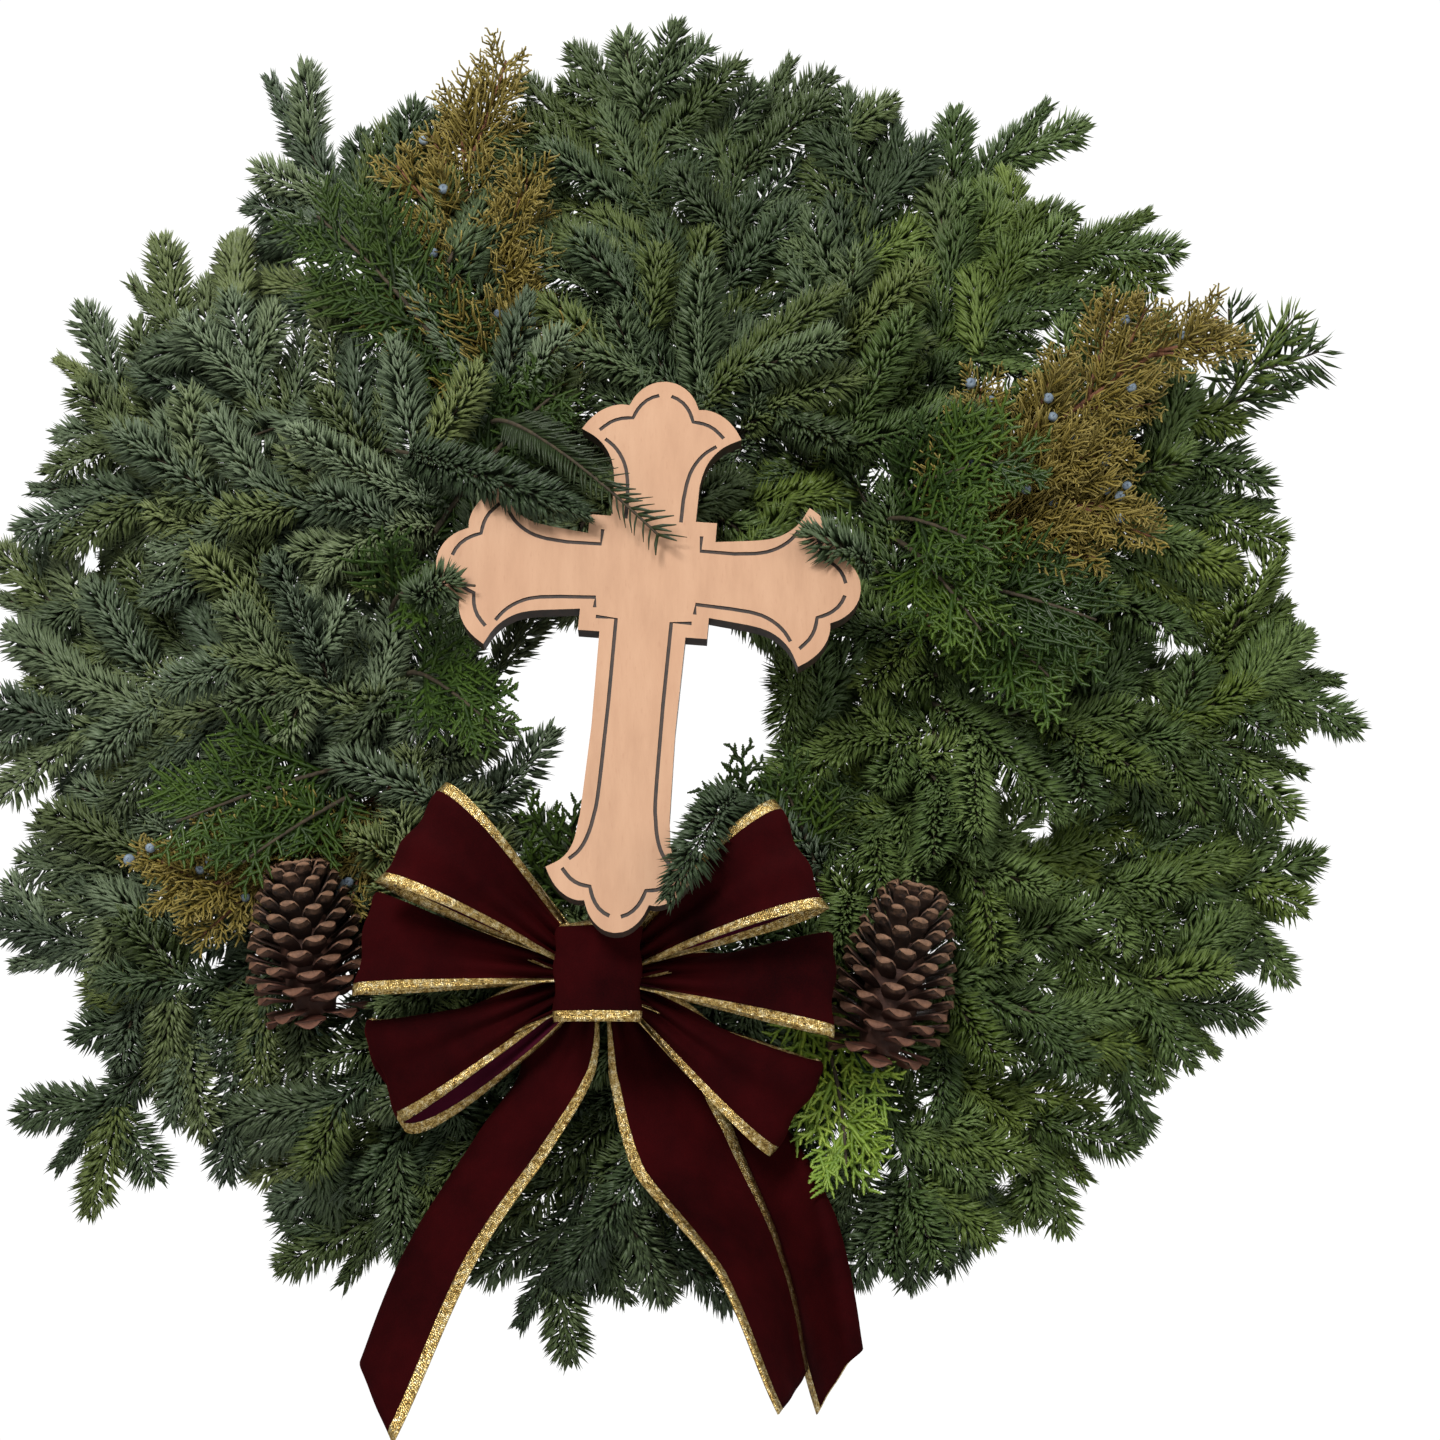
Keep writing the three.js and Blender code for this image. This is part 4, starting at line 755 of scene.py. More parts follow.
# ------------------------------------------------------------------ cones
def cone(name, base, apex, radius):
    """A dry open cone. Scale i stands at a turn of 137.5 degrees from the last, where the
    outline's half width is radius sin(pi f)^0.75; it is a spoon with a thick pale lip."""
    base, apex = V(*base), V(*apex)
    axis = unit(apex - base)
    length = float(np.linalg.norm(apex - base))
    s0 = side_of(axis, FRONT)
    n0 = np.cross(axis, s0)

    def outline(t):
        return np.sin(math.pi * np.minimum(1, 0.16 + 0.84 * t) ** 0.9) ** 0.75

    count = 118
    i = np.arange(count)
    t = -0.02 + 1.0 * (i / count) ** 0.92
    part = np.clip(t, 0, 1)
    rng = np.random.default_rng(31)
    a = GOLDEN * i + 0.05 * rng.standard_normal(count)
    o = np.cos(a)[:, None] * s0 + np.sin(a)[:, None] * n0
    side = np.cross(axis, o)
    r = radius * outline(np.clip(t, 0.01, 1)) + 1.0
    rise = np.radians(mix(2, 66, part**1.1) - 16 * (t < 0.06))
    up = np.sin(rise)[:, None] * axis + np.cos(rise)[:, None] * o
    over = np.cross(up, side)
    over *= np.sign((over @ axis)[:, None] + 1e-9)
    foot = base + axis * (t * length)[:, None] + o * (r * 0.2)[:, None]
    reach = np.minimum(r * 0.84, radius * 0.84) / np.maximum(np.cos(rise), 0.55)
    reach = np.minimum(reach, 29) * mix(1, 0.72, part)
    wide = mix(7.6, 3.6, part) * (0.94 + 0.12 * rng.random(count))
    x = np.linspace(-1, 1, 7)
    b = np.linspace(0, 1, 8)[:, None]
    breadth = 0.34 + 0.66 * smooth(b * 1.5) - 0.24 * smooth((b - 0.86) / 0.14)
    thick = 0.55 + 1.7 * smooth((b - 0.62) / 0.3) * (1 - 0.35 * smooth((b - 0.93) / 0.07))
    lip = 2.2 * np.maximum(0, 1 - ((b - 0.93) / 0.08) ** 2) * (1 - np.abs(x))
    across = wide[:, None, None] * breadth * x
    ahead = reach[:, None, None] * (b - 0.07 * x**2 * b)

    def layer(sign):
        height = 1.6 * b**2 * (0.4 + x**2 * 0.8) + sign * thick * (1 - 0.75 * x**2) - (sign < 0) * lip
        p = foot[:, None, None]
        for v, q in ((side, across), (up, ahead), (over, height)):
            p = p + v[:, None, None] * q[..., None]
        return p

    rows, cols = 8, 7
    k = rows * cols
    f = grid_faces(rows, cols)
    whole = np.concatenate([f, f[:, ::-1] + k, rim_faces(rows, cols)[:, [0, 2, 1]]])
    verts = np.concatenate([layer(1).reshape(count, k, 3), layer(-1).reshape(count, k, 3)], 1)
    p, q, r = verts[40][whole[0]]
    if np.cross(q - p, r - p) @ over[40] < 0:
        whole = whole[:, ::-1]
    skin = Skin()
    tint = tints(rng.random(count)[:, None], np.tile(np.repeat(b, cols), 2), part[:, None])
    skin.add(verts, repeated(whole, count, 2 * k), 0, tint)
    steps = np.linspace(-0.02, 0.97, 14)
    core = radius * 0.42 * np.maximum(0.2, outline(np.clip(steps, 0.02, 1)))
    tubes(skin, base + axis * (steps * length)[:, None], core, 12, 0, (0.5, 0.3, 0.3, 1))
    skin.make(name + "_scales", [MAT["cone"]], "cone_scale", [name])


cone("cone_left", (-177, -50, -179), (-187, -58, -108), 35.5)
cone("cone_right", (115, -52, -199), (135, -60, -119), 35.5)


# ------------------------------------------------------------------ ring and wires
BOUGHS = (
    # kind, clamp, layer, tip x y z, side twigs, first length, turn, inward twigs, colour
    ("fir", 0, 0, 73, -10, 363, 5, 84, -1, 0, 1), ("fir", 1, 0, 219, -8, 337, 5, 84, -1, 0, 2),
    ("fir", 2, 0, 353, -8, 172, 4, 84, -1, 0, 2), ("fir", 3, 0, 370, -8, 4, 5, 80, -1, 0, 2),
    ("fir", 4, 0, 330, -10, -125, 4, 84, -1, 0, 2), ("fir", 5, 0, 226, -10, -265, 5, 80, -1, 0, 2),
    ("fir", 6, 0, 22, -12, -313, 4, 66, -1, 0, 1), ("fir", 7, 0, -164, -12, -318, 5, 80, -1, 0, 1),
    ("fir", 8, 0, -344, -10, -152, 5, 84, -1, 0, 0), ("fir", 9, 0, -361, -10, 49, 5, 80, -1, 0, 0),
    ("fir", 10, 0, -335, -10, 185, 5, 84, -1, 0, 0), ("fir", 11, 0, -23, -10, 372, 5, 80, 1, 0, 1),
    ("fir", 0, 1, 125, -30, 302, 4, 66, 1, 2, 1), ("fir", 1, 1, 270, -34, 262, 5, 74, -1, 2, 2),
    ("fir", 2, 1, 332, -30, 97, 5, 74, -1, 2, 2), ("fir", 3, 1, 344, -30, -50, 5, 74, -1, 2, 2),
    ("fir", 4, 1, 292, -28, -198, 4, 74, -1, 2, 2), ("fir", 5, 1, 142, -28, -295, 4, 70, -1, 2, 2),
    ("fir", 6, 1, -70, -28, -338, 4, 70, -1, 1, 1), ("fir", 7, 1, -313, -26, -258, 5, 84, 1, 1, 1),
    ("fir", 8, 1, -351, -30, -41, 5, 74, 1, 2, 0), ("fir", 9, 1, -340, -34, 105, 5, 74, 1, 2, 0),
    ("fir", 10, 1, -292, -30, 223, 5, 74, -1, 0, 0), ("juniper", 11, 2, -112, -38, 325, 5, 92, -1, 0, 0),
    ("fir", 0, 2, -20, -54, 226, 4, 56, -1, 2, 1), ("cedar", 1, 2, 208, -56, -4, 7, 56, 1, 0, 1),
    ("juniper", 2, 2, 250, -55, 93, 5, 74, -1, 0, 1), ("fir", 3, 2, 180, -50, -124, 4, 60, 1, 2, 2),
    ("fir", 4, 2, 226, -46, -186, 4, 60, 1, 1, 2), ("fir", 5, 2, -4, -38, -278, 4, 56, 1, 0, 1),
    ("fir", 7, 2, -185, -44, -240, 4, 64, -1, 1, 1), ("juniper", 8, 2, -258, -50, -116, 5, 66, -1, 0, 0),
    ("cedar", 9, 2, -56, -62, 150, 7, 44, 1, 0, 0), ("fir", 10, 2, -231, -52, 111, 5, 64, -1, 2, 0),
    ("fir", 11, 3, -146, -50, 246, 4, 62, -1, 2, 0), ("fir", 8, 3, -236, -56, 8, 5, 62, 1, 2, 0),
    ("juniper", 2, 3, 300, -72, 190, 5, 66, -1, 0, 1), ("cedar", 10, 3, -186, -64, 250, 7, 52, 1, 0, 0),
    ("fir", 11, 1, -221, -22, 346, 5, 66, -1, 0, 0), ("cedar", 5, 3, 98, -50, -258, 6, 46, -1, 0, 2),
)

skin = Skin()
a = np.linspace(0, 2 * math.pi, 121)
for r in (RAIL_IN, RAIL_OUT):
    circle = np.stack([r * np.sin(a), np.full_like(a, RAIL_Y), r * np.cos(a)], 1)
    tubes(skin, circle, WIRE, 10, like=V(0, 1, 0))
for k in range(CLAMPS):
    held = max(b[2] for b in BOUGHS if b[1] == k)
    front = LAYER_Y[held] - STEM - SEAT - PRONG
    e = polar(clamp_angle(k), 1, 0)
    half = (RAIL_OUT - RAIL_IN) / 2
    bends = ((-2, front), (-6.2, front + 3), (1.4 - half, RAIL_Y),
             (half - 1.4, RAIL_Y), (6.2, front + 3), (2, front))
    at = [e * (CLAMP_R + r) + V(0, y, 0) for r, y in bends]
    tubes(skin, even(at, 40), PRONG, 8)
skin.make("ring_and_clamps_wire", [MAT["wire"]], "green_wire", ["wire_ring_with_clamps"])

BEHIND = RAIL_Y + WIRE + BIND + SEAT


def hook(phi, r, to):
    return [polar(phi, r, 0), polar(phi, r, BEHIND), polar(phi, to, BEHIND)]


def cone_wire(base, apex, phi):
    """The wire's way from the foot of a cone down, round and back to the ring."""
    base, axis = V(*base), unit(V(*apex) - V(*base))
    back = polar(phi, TIE_R, 0)
    below = base - 12 * axis
    bend = below - 5 * axis + 7 * unit(back - below)
    return [base - SEAT * axis, below, bend, *hook(phi, TIE_R, TIE_END)]


WIRES = {
    "bow_binding_wire": [(-28, -65.4, -151.4), (-28, -98, -151.4), (-28, -98, -172.6), (-28, -65.4, -172.6),
                         (-50, -34, -150), *hook(205.5, TIE_R, TIE_END)],
    "cross_binding_wire_top": [(-3, -74.6, 133), *hook(-1.2, 138.2, 147)],
    "cross_binding_wire_low": [(-16, -119.9, -112), *hook(186.6, 138, 147)],
    "cone_left_binding_wire": cone_wire((-177, -50, -179), (-184, -58, -98), 217),
    "cone_right_binding_wire": cone_wire((115, -52, -199), (136, -60, -112), 152),
}
for name, path in WIRES.items():
    skin = Skin()
    p = even(path, 90)
    t = unit(np.gradient(p, axis=0))
    s = side_of(t, V(0.3, 0.2, 0.9))
    u = np.cross(t, s)
    turn = np.linspace(0, length_of(p) / 4.2 * 2 * math.pi / 3, 90)[:, None]
    for phase in (0, math.pi):
        tubes(skin, p + 0.42 * (np.cos(turn + phase) * s + np.sin(turn + phase) * u), 0.46, 6)
    skin.make(name + "_twisted", [MAT["wire"]], "binding_wire", [name])

# ------------------------------------------------------------------ what foliage keeps clear of

bpy.context.view_layer.update()
MADE = []
for o in list(bpy.context.scene.objects):
    if o.type == "MESH" and o.name.endswith(("_cloth", "_scales", "_plate")):
        m = o.data
        co = np.empty(len(m.vertices) * 3, np.float32)
        m.vertices.foreach_get("co", co)
        co = co.reshape(-1, 3)
        tree = BVHTree.FromPolygons([v.co[:] for v in m.vertices], [p.vertices[:] for p in m.polygons])
        MADE.append((tree, co.min(0), co.max(0)))


def inside(p, spare=0.006):
    """Which points (in mm) stay in the solids' box, with the room that the rule allows."""
    lo, hi = (np.array(c) for c in CAD_BOX)
    room = 0.03 * (hi - lo) + spare
    q = place(p)
    return np.all((q > lo - room) & (q < hi + room), -1)


def strikes(a, b, clear=0.0012):
    """Which of the segments from a to b (in mm) cross a made piece or start too near it."""
    a, b = place(a), place(b)
    hit = np.zeros(len(a), bool)
    for tree, lo, hi in MADE:
        near = np.all(np.maximum(a, b) > lo - clear, 1) & np.all(np.minimum(a, b) < hi + clear, 1) & ~hit
        for i in np.nonzero(near)[0]:
            d = b[i] - a[i]
            l = float(np.linalg.norm(d))
            p = Vector(a[i])
            through = tree.ray_cast(p, Vector(d / l), l + clear)[0] is not None
            if through or tree.find_nearest(p, clear)[0] is not None:
                hit[i] = True
    return hit


# ------------------------------------------------------------------ boughs
def lay(bough, index):
    """The stem and first twigs of a bough, by the rule that laid its solid: a curve of four
    points from its clamp to its tip, and twigs of three points springing to either side."""
    k, layer, x, y, z, count, first, turn, inward = bough[1:10]
    rnd = seeded(101 + index * 7919)
    phi = clamp_angle(k)
    c = polar(phi, CLAMP_R, LAYER_Y[layer])
    a = math.radians(phi)
    t = V(math.cos(a), 0, -math.sin(a)) * turn
    tip = V(x, y, z)
    reach = float(np.linalg.norm(tip - c))
    p1 = c + t * min(46, reach * 0.32)
    p1[1] = mix(c[1], y, (0, 0.03, 0.04, 0.1)[layer])
    p2 = mix(tip, p1, 0.42) + t * reach * 0.05
    p2[1] = mix(y, c[1], 0.3)
    grown = arc([c, p1, p2, tip], 9)
    stem = np.vstack([c - 13 * t + V(0, -1.6 if layer == 3 else 0, 0), grown])
    twigs = []

    def spring(f, side, angle, length, lift):
        j = f * 9
        i = min(8, int(j))
        p = mix(grown[i], grown[i + 1], j - i)
        d = unit(grown[i + 1] - grown[i])
        up = unit(FRONT + d * d[1])
        across = np.cross(d, up) * side
        go = d * math.cos(math.radians(angle)) + across * math.sin(math.radians(angle))
        end = p + go * length + d * 0.16 * length - V(0, lift, 0)
        ctrl = p + go * length * 0.5 - V(0, lift * 0.3, 0)
        twigs.append((arc([p, ctrl, end], 8), f))

    d0 = unit(grown[1] - grown[0])
    towards = np.sign(-c @ np.cross(d0, FRONT)) or 1
    for i in range(inward):
        angle = 74 - 16 * i + 8 * (rnd() - 0.5)
        length = mix(66, 54, i) + 8 * rnd()
        spring(0.1 + 0.11 * i, towards, angle, length, 5 + 6 * rnd())
    start = 0.17 if layer else 0.36
    for i in range(count):
        f = mix(start, 0.86, 0 if count == 1 else i / (count - 1)) + 0.03 * (rnd() - 0.5)
        side = (1 if i % 2 else -1) * turn
        angle = mix(46, 36, f) + 10 * (rnd() - 0.5)
        length = first * (1 - 0.48 * f) * (0.9 + 0.2 * rnd())
        spring(f, side, angle, length, 2 + 9 * rnd())
    return stem, grown, twigs


LAID = [lay(bough, index) for index, bough in enumerate(BOUGHS)]


def clear_of_made(path, gap=3.0):
    """How much of a twig, from its foot, stays clear of the cross, bow and cones."""
    fine = even(path, 24)
    near = gap / 1000
    for i, p in enumerate(place(fine)):
        for tree, lo, hi in MADE:
            if np.all(p > lo - near) and np.all(p < hi + near):
                if tree.find_nearest(Vector(p), near)[0] is not None:
                    return fine[: max(0, i - 1)]
    return fine


# Sprigs that lie over the cross: a fir twig on the left arm's upper edge, and tips over the
# ends of the arms and the foot.
OVER_CROSS = (
    ((-150, -30, 128), (-128, -88, 112), (-92, -110, 92), (-36, -109, 72)),
    ((-128, -66, 30), (-122, -96, 32), (-114, -106, 34), (-102, -109, 37)),
    ((116, -70, 50), (108, -98, 50), (96, -107, 54), (78, -108, 62)),
    ((46, -30, -66), (40, -104, -70), (30, -140, -86), (8, -146, -130)),
)
# Fir twigs that reach into the opening, and two behind the cross that close small gaps.
MIDDLE_SPRIGS = (
    ((-128, -6, -78), (-96, -34, -84), (-56, -50, -32)), ((-134, -6, -40), (-112, -40, -48), (-78, -52, -30)),
    ((96, -6, -104), (80, -34, -96), (52, -44, -70)), ((-66, -6, 138), (-52, -18, 152), (-38, -22, 186)),
    ((-142, -6, 16), (-152, -20, 36), (-166, -24, 68)),
)
# A dark twig whose long needles lie one by one: its path, and their ways and lengths.
COMB = ((-96, -20, 142), (-88, -94, 138), (-48, -106, 110), (2, -108, 60))
COMB_NEEDLES = (((0.9, -0.1, 0.42), 19), ((-0.35, -0.1, -0.93), 15), ((0.6, -0.5, 0.1), 15))
CEDAR_SPRIGS = (
    ("cedar_sprigs_left", 1, (
        ((-146, -8, -40), (-180, -40, -48), (-250, -64, -82)),
        ((-146, -8, -50), (-175, -50, -70), (-214, -70, -104)),
        ((-140, -8, 5), (-130, -60, 8), (-86, -74, -32)), ((-148, -8, 30), (-146, -80, 48), (-92, -112, 33)))),
    ("cedar_sprigs_right", 1, (
        ((120, -8, 92), (130, -60, 90), (176, -70, 62)), ((126, -8, 84), (136, -64, 70), (170, -72, 18)),
        ((140, -8, 60), (170, -60, 50), (232, -62, 26)), ((118, -8, 94), (138, -64, 110), (196, -68, 112)))),
    ("cedar_sprigs_low", 0, (
        ((66, -8, -136), (64, -30, -100), (36, -44, -62)), ((90, -8, -120), (82, -36, -90), (64, -46, -54)),
        ((-40, -8, -145), (-52, -40, -110), (-44, -52, -78)))),
)
FROND_POINTS = np.vstack(
    [even(arc(q, 8)[3:], 8) for _, _, group in CEDAR_SPRIGS[:2] for q in group]
    + [even(p, 8) for i, (_, grown, twigs) in enumerate(LAID) if BOUGHS[i][0] != "fir" and i != BEHIND_CROSS
       for p in [grown[6:]] + [t for t, f in twigs if f > 0.4]])


def clear_of_fronds(path):
    """How much of a fir twig stays behind the cedar and juniper sprays, which lie on top."""
    off = path[:, None] - FROND_POINTS[None]
    block = ((off[..., 0] ** 2 + off[..., 2] ** 2 < 20**2) & (off[..., 1] < 12)).any(1)
    return path[: max(0, int(block.argmax()) - 1)] if block.any() else path


def offshoots(path, rng, count, length, angle, start, up, flat=0.25, end=0.86):
    """Smaller twigs on a twig, left and right in turn, at an angle forward, in the plane
    across up, each bending forward along it."""
    made = []
    for i in range(count):
        f = mix(start, end, i / max(1, count - 1)) + 0.03 * rng.standard_normal()
        f = float(np.clip(f, 0.05, 0.95))
        j = f * (len(path) - 1)
        k = min(len(path) - 2, int(j))
        p = mix(path[k], path[k + 1], j - k)
        d = unit(path[k + 1] - path[k])
        across = unit(np.cross(d, side_of(d, up))) * (1 if i % 2 else -1)
        a = math.radians(angle + 7 * rng.standard_normal())
        l = length * (1 - 0.55 * f) * (0.85 + 0.3 * rng.random())
        go = d * math.cos(a) + across * math.sin(a) + up * flat * rng.uniform(-0.5, 1.0)
        q = arc([p, p + go * l * 0.5, p + go * l + d * 0.2 * l + up * 0.06 * l], 8)
        q[:, 1] = np.clip(q[:, 1], p[1] - 60, max(p[1], 4))
        made.append(q)
    return made


def needles(skin, twigs, rng, per_mm, length, slot):
    """Fir needles on twigs, each twig a path, an age and a bare share at its foot. Needles
    spring left and right of a parting that faces the front, 6 to 128 degrees from it; each
    leans forward along the twig, those near the parting most, and bends up to the front,
    so that a twig looks like a soft, thick feather. A needle is a blade of four faces,
    widest and bent at its middle."""
    rows = []
    for path, age, skip in twigs:
        n = int(length_of(path) * (1 - skip) * per_mm)
        if n < 4:
            continue
        f = np.clip(np.linspace(skip, 1, n) + 0.4 / n * rng.standard_normal(n), 0, 1)
        j = f * (len(path) - 1)
        i = np.minimum(len(path) - 2, j.astype(int))
        past = (j - i)[:, None]
        t = unit(np.gradient(path, axis=0))
        d = unit(mix(t[i], t[i + 1], past))
        roll = math.radians(20) * rng.standard_normal()
        s = side_of(d, V(math.sin(roll), -math.cos(roll), 0.15))
        q = rng.random(n)
        a = np.radians(mix(6, 128, q)) * np.where(np.arange(n) % 2, 1, -1)
        o = np.cos(a)[:, None] * s + np.sin(a)[:, None] * np.cross(d, s)
        end = smooth((f - 0.8) / 0.2)
        tall = length * mix(0.62, 1, smooth(q * 1.6)) * (0.9 + 0.2 * rng.random(n))
        tall = tall * (1 - 0.42 * end) * (0.7 + 0.3 * smooth((f - skip) / 0.12))
        foot = mix(path[i], path[i + 1], past)
        rows.append((foot, d, s, o, tall, end, age + 0.25 * end, np.full(n, rng.random())))
    if not rows:
        return
    p, d, s, o, l, e, y, draw = (np.concatenate(k) for k in zip(*rows))
    n = len(p)
    front = np.maximum(0, (o * s).sum(1)) ** 1.5
    a0 = np.radians(15 + 5 * rng.standard_normal(n) + 42 * e + 36 * front * (1 - e))
    a1 = np.radians(36 + 6 * rng.standard_normal(n) + 36 * e + 34 * front * (1 - e))

    def half_way(out, a):
        return (out * np.cos(a)[:, None] + d * np.sin(a)[:, None]) * (l * 0.5)[:, None]

    p0 = p + o * 0.6
    p1 = p0 + half_way(o, a0)
    p2 = p1 + half_way(unit(o + 0.3 * s), a1)
    ok = ~strikes(p0, p1) & ~strikes(p1, p2) & inside(p2)
    p0, p1, p2, side, y, draw = (k[ok] for k in (p0, p1, p2, unit(np.cross(d, o)), y, draw))
    n = len(p0)
    w = BLADE * (0.85 + 0.3 * rng.random(n))[:, None]
    verts = np.stack([p0, p1 - side * w, p1 + side * w, p2], 1)
    volume = (np.cross(verts[:, 1] - p0, verts[:, 2] - p0) * (p2 - p0)).sum(1)
    verts[volume > 0, 1], verts[volume > 0, 2] = verts[volume > 0, 2], verts[volume > 0, 1]
    faces = np.array([[0, 1, 2], [0, 3, 1], [0, 2, 3], [1, 3, 2]])
    tint = tints(draw[:, None], np.array([0, 0.6, 0.6, 1.0]), np.clip(y, 0, 1)[:, None])
    skin.add(verts, repeated(faces, n, 4), slot, tint)


TAKEN = [np.empty((0, 3))]


def take(path):
    """Note where a needled twig lies, at a point every 5 mm."""
    TAKEN[0] = np.vstack([TAKEN[0], even(path, max(3, int(length_of(path) / 5)))])


def room(path, gap=10.0, grip=0.3):
    """How much of a new twig, from its foot, keeps a gap from all other twigs; its first
    share, where it grows from its own, is let off."""
    off = np.linalg.norm(path[:, None] - TAKEN[0][None], axis=2).min(1) < gap
    off[: int(len(path) * grip)] = False
    return path[: int(off.argmax())] if off.any() else path


def branched(path, rng, age, rods, brushes, always=False):
    """A fir twig and the smaller twigs on it, where nothing is in the way, added to the
    rods and to the needled brushes."""
    path = clear_of_fronds(clear_of_made(path))
    if len(path) > 6 and not always:
        path = room(path)
    if len(path) < 6 or length_of(path) < 24:
        return
    if not always:
        take(path)
    rods.append((path, 1.5))
    brushes.append((path, age, 0.06))
    total = length_of(path)
    if total > 50:
        for q in offshoots(path, rng, 2, total * 0.62, 48, 0.2, FRONT, 0.3, 0.4):
            q = room(clear_of_fronds(clear_of_made(q)), 10, 0.45)
            if len(q) > 8 and length_of(q) > 20:
                take(q)
                rods.append((q, 0.9))
                brushes.append((q, age + 0.2, 0.02))


def fir(node, index, bough):
    """A noble fir bough: brown stem, twigs with smaller twigs, and their needles."""
    stem, grown, twigs = LAID[index]
    rng = np.random.default_rng(500 + index)
    sparse = index == SPARSE
    skin = Skin()
    rods, brushes = [], [(clear_of_made(grown), 0.2, 0.06)]
    for path, _ in twigs:
        branched(path, rng, 0.2 + 0.4 * rng.random(), rods, brushes, True)
    for path in offshoots(grown, rng, 3 if sparse else 8, bough[7] * 1.0, 44, 0.12, FRONT, 0.6, 0.85):
        branched(path, rng, 0.2 + 0.4 * rng.random(), rods, brushes)
    tubes(skin, rounded(stem, 26), taper(STEM, 1.1, 26), 8, 0)
    if sparse:
        brushes = [(path, 0.0, skip) for path, _, skip in brushes]
    finish_fir(skin, node + "_live", bough[10], rods, brushes, rng, [node], LONG if sparse else DENSE)


def finish_fir(skin, name, tint, rods, brushes, rng, nodes=(), growth=DENSE):
    """The rods and needles of fir twigs, made into one object. growth is the number of
    needles on each mm and their length."""
    if rods:
        thick = np.stack([taper(r, 0.6, 9) for _, r in rods])
        tubes(skin, np.stack([even(p, 9) for p, _ in rods]), thick, 5, 0)
    needles(skin, brushes, rng, *growth, 1)
    slot = ("fir_blue_green", "fir_mid_green", "fir_dark_green")[tint]
    skin.make(name, [MAT["bark"], MAT[f"fir{tint}"]], slot, nodes)


def cedar_leaves(skin, firsts, rng):
    """Flat cedar sprays on their first twigs: each branchlet is a flattened chain of scale
    leaves, whose width swells and narrows from leaf to leaf."""
    up = FRONT
    chains, ages = [], []
    for path in firsts:
        path = clear_of_made(path)
        if len(path) < 6:
            continue
        chains.append(even(path, 9))
        ages.append((1.5, 0.2, rng.random()))
        total, own = length_of(path), rng.random()
        for q in offshoots(path, rng, max(6, int(total / 5.6)), total * 0.52, 44, 0.1, up, 0.05, 0.97):
            chains.append(even(q, 9))
            ages.append((1.15, 0.45, own))
            l = length_of(q)
            for z in offshoots(q, rng, max(3, int(l / 4.0)), l * 0.55, 42, 0.15, up, 0.04, 0.95):
                chains.append(even(z, 9))
                ages.append((1.1, 0.75, own))
    p = np.stack(chains)
    ok = ~strikes(p[:, 0], p[:, 4]) & ~strikes(p[:, 4], p[:, -1])
    p, ages = p[ok], np.array(ages)[ok]
    k = np.linspace(0, 1, 9)
    radii = ages[:, :1] * mix(1, 0.35, k**2) * (1 + 0.28 * np.cos(np.arange(9) * math.pi))
    tint = tints(ages[:, 2:], k, ages[:, 1:2])
    tubes(skin, p, radii, 4, 1, tint, 0.42, unit(np.cross(np.gradient(p, axis=1), up)))


CEDARS = ("cedar_deep_green", "cedar_green", "cedar_yellow_green")


def cedar(node, index, bough):
    """A cedar frond on its stem."""
    stem, grown, twigs = LAID[index]
    rng = np.random.default_rng(700 + index)
    skin = Skin()
    tubes(skin, rounded(stem, 24), taper(STEM, 0.8, 24), 7, 0)
    more = offshoots(grown, rng, 6, bough[7] * 0.9, 42, 0.25, FRONT, 0.12, 0.92)
    cedar_leaves(skin, [path for path, _ in twigs] + more + [grown[5:]], rng)
    skin.make(node + "_live", [MAT["bark"], MAT[f"cedar{bough[10]}"]], CEDARS[bough[10]], [node])


def berry(skin, centres, radius, slot):
    """Round berries with a shallow star at the end, 12 by 8 patches each."""
    lat = np.linspace(0, math.pi, 8)[:, None]
    lon = np.arange(12) * 2 * math.pi / 12
    dent = 1 - 0.12 * np.exp(-((lat / 0.35) ** 2)) * (1 + 0.4 * np.cos(3 * lon))
    ball = [np.sin(lat) * np.cos(lon) * dent, -np.cos(lat) * dent, np.sin(lat) * np.sin(lon) * dent]
    ball = np.stack(ball, -1).reshape(-1, 3)
    verts = centres[:, None] + ball[None] * np.asarray(radius).reshape(-1, 1, 1)
    f = grid_faces(8, 12, close=True)
    skin.add(verts, repeated(f, len(centres), 96), slot)


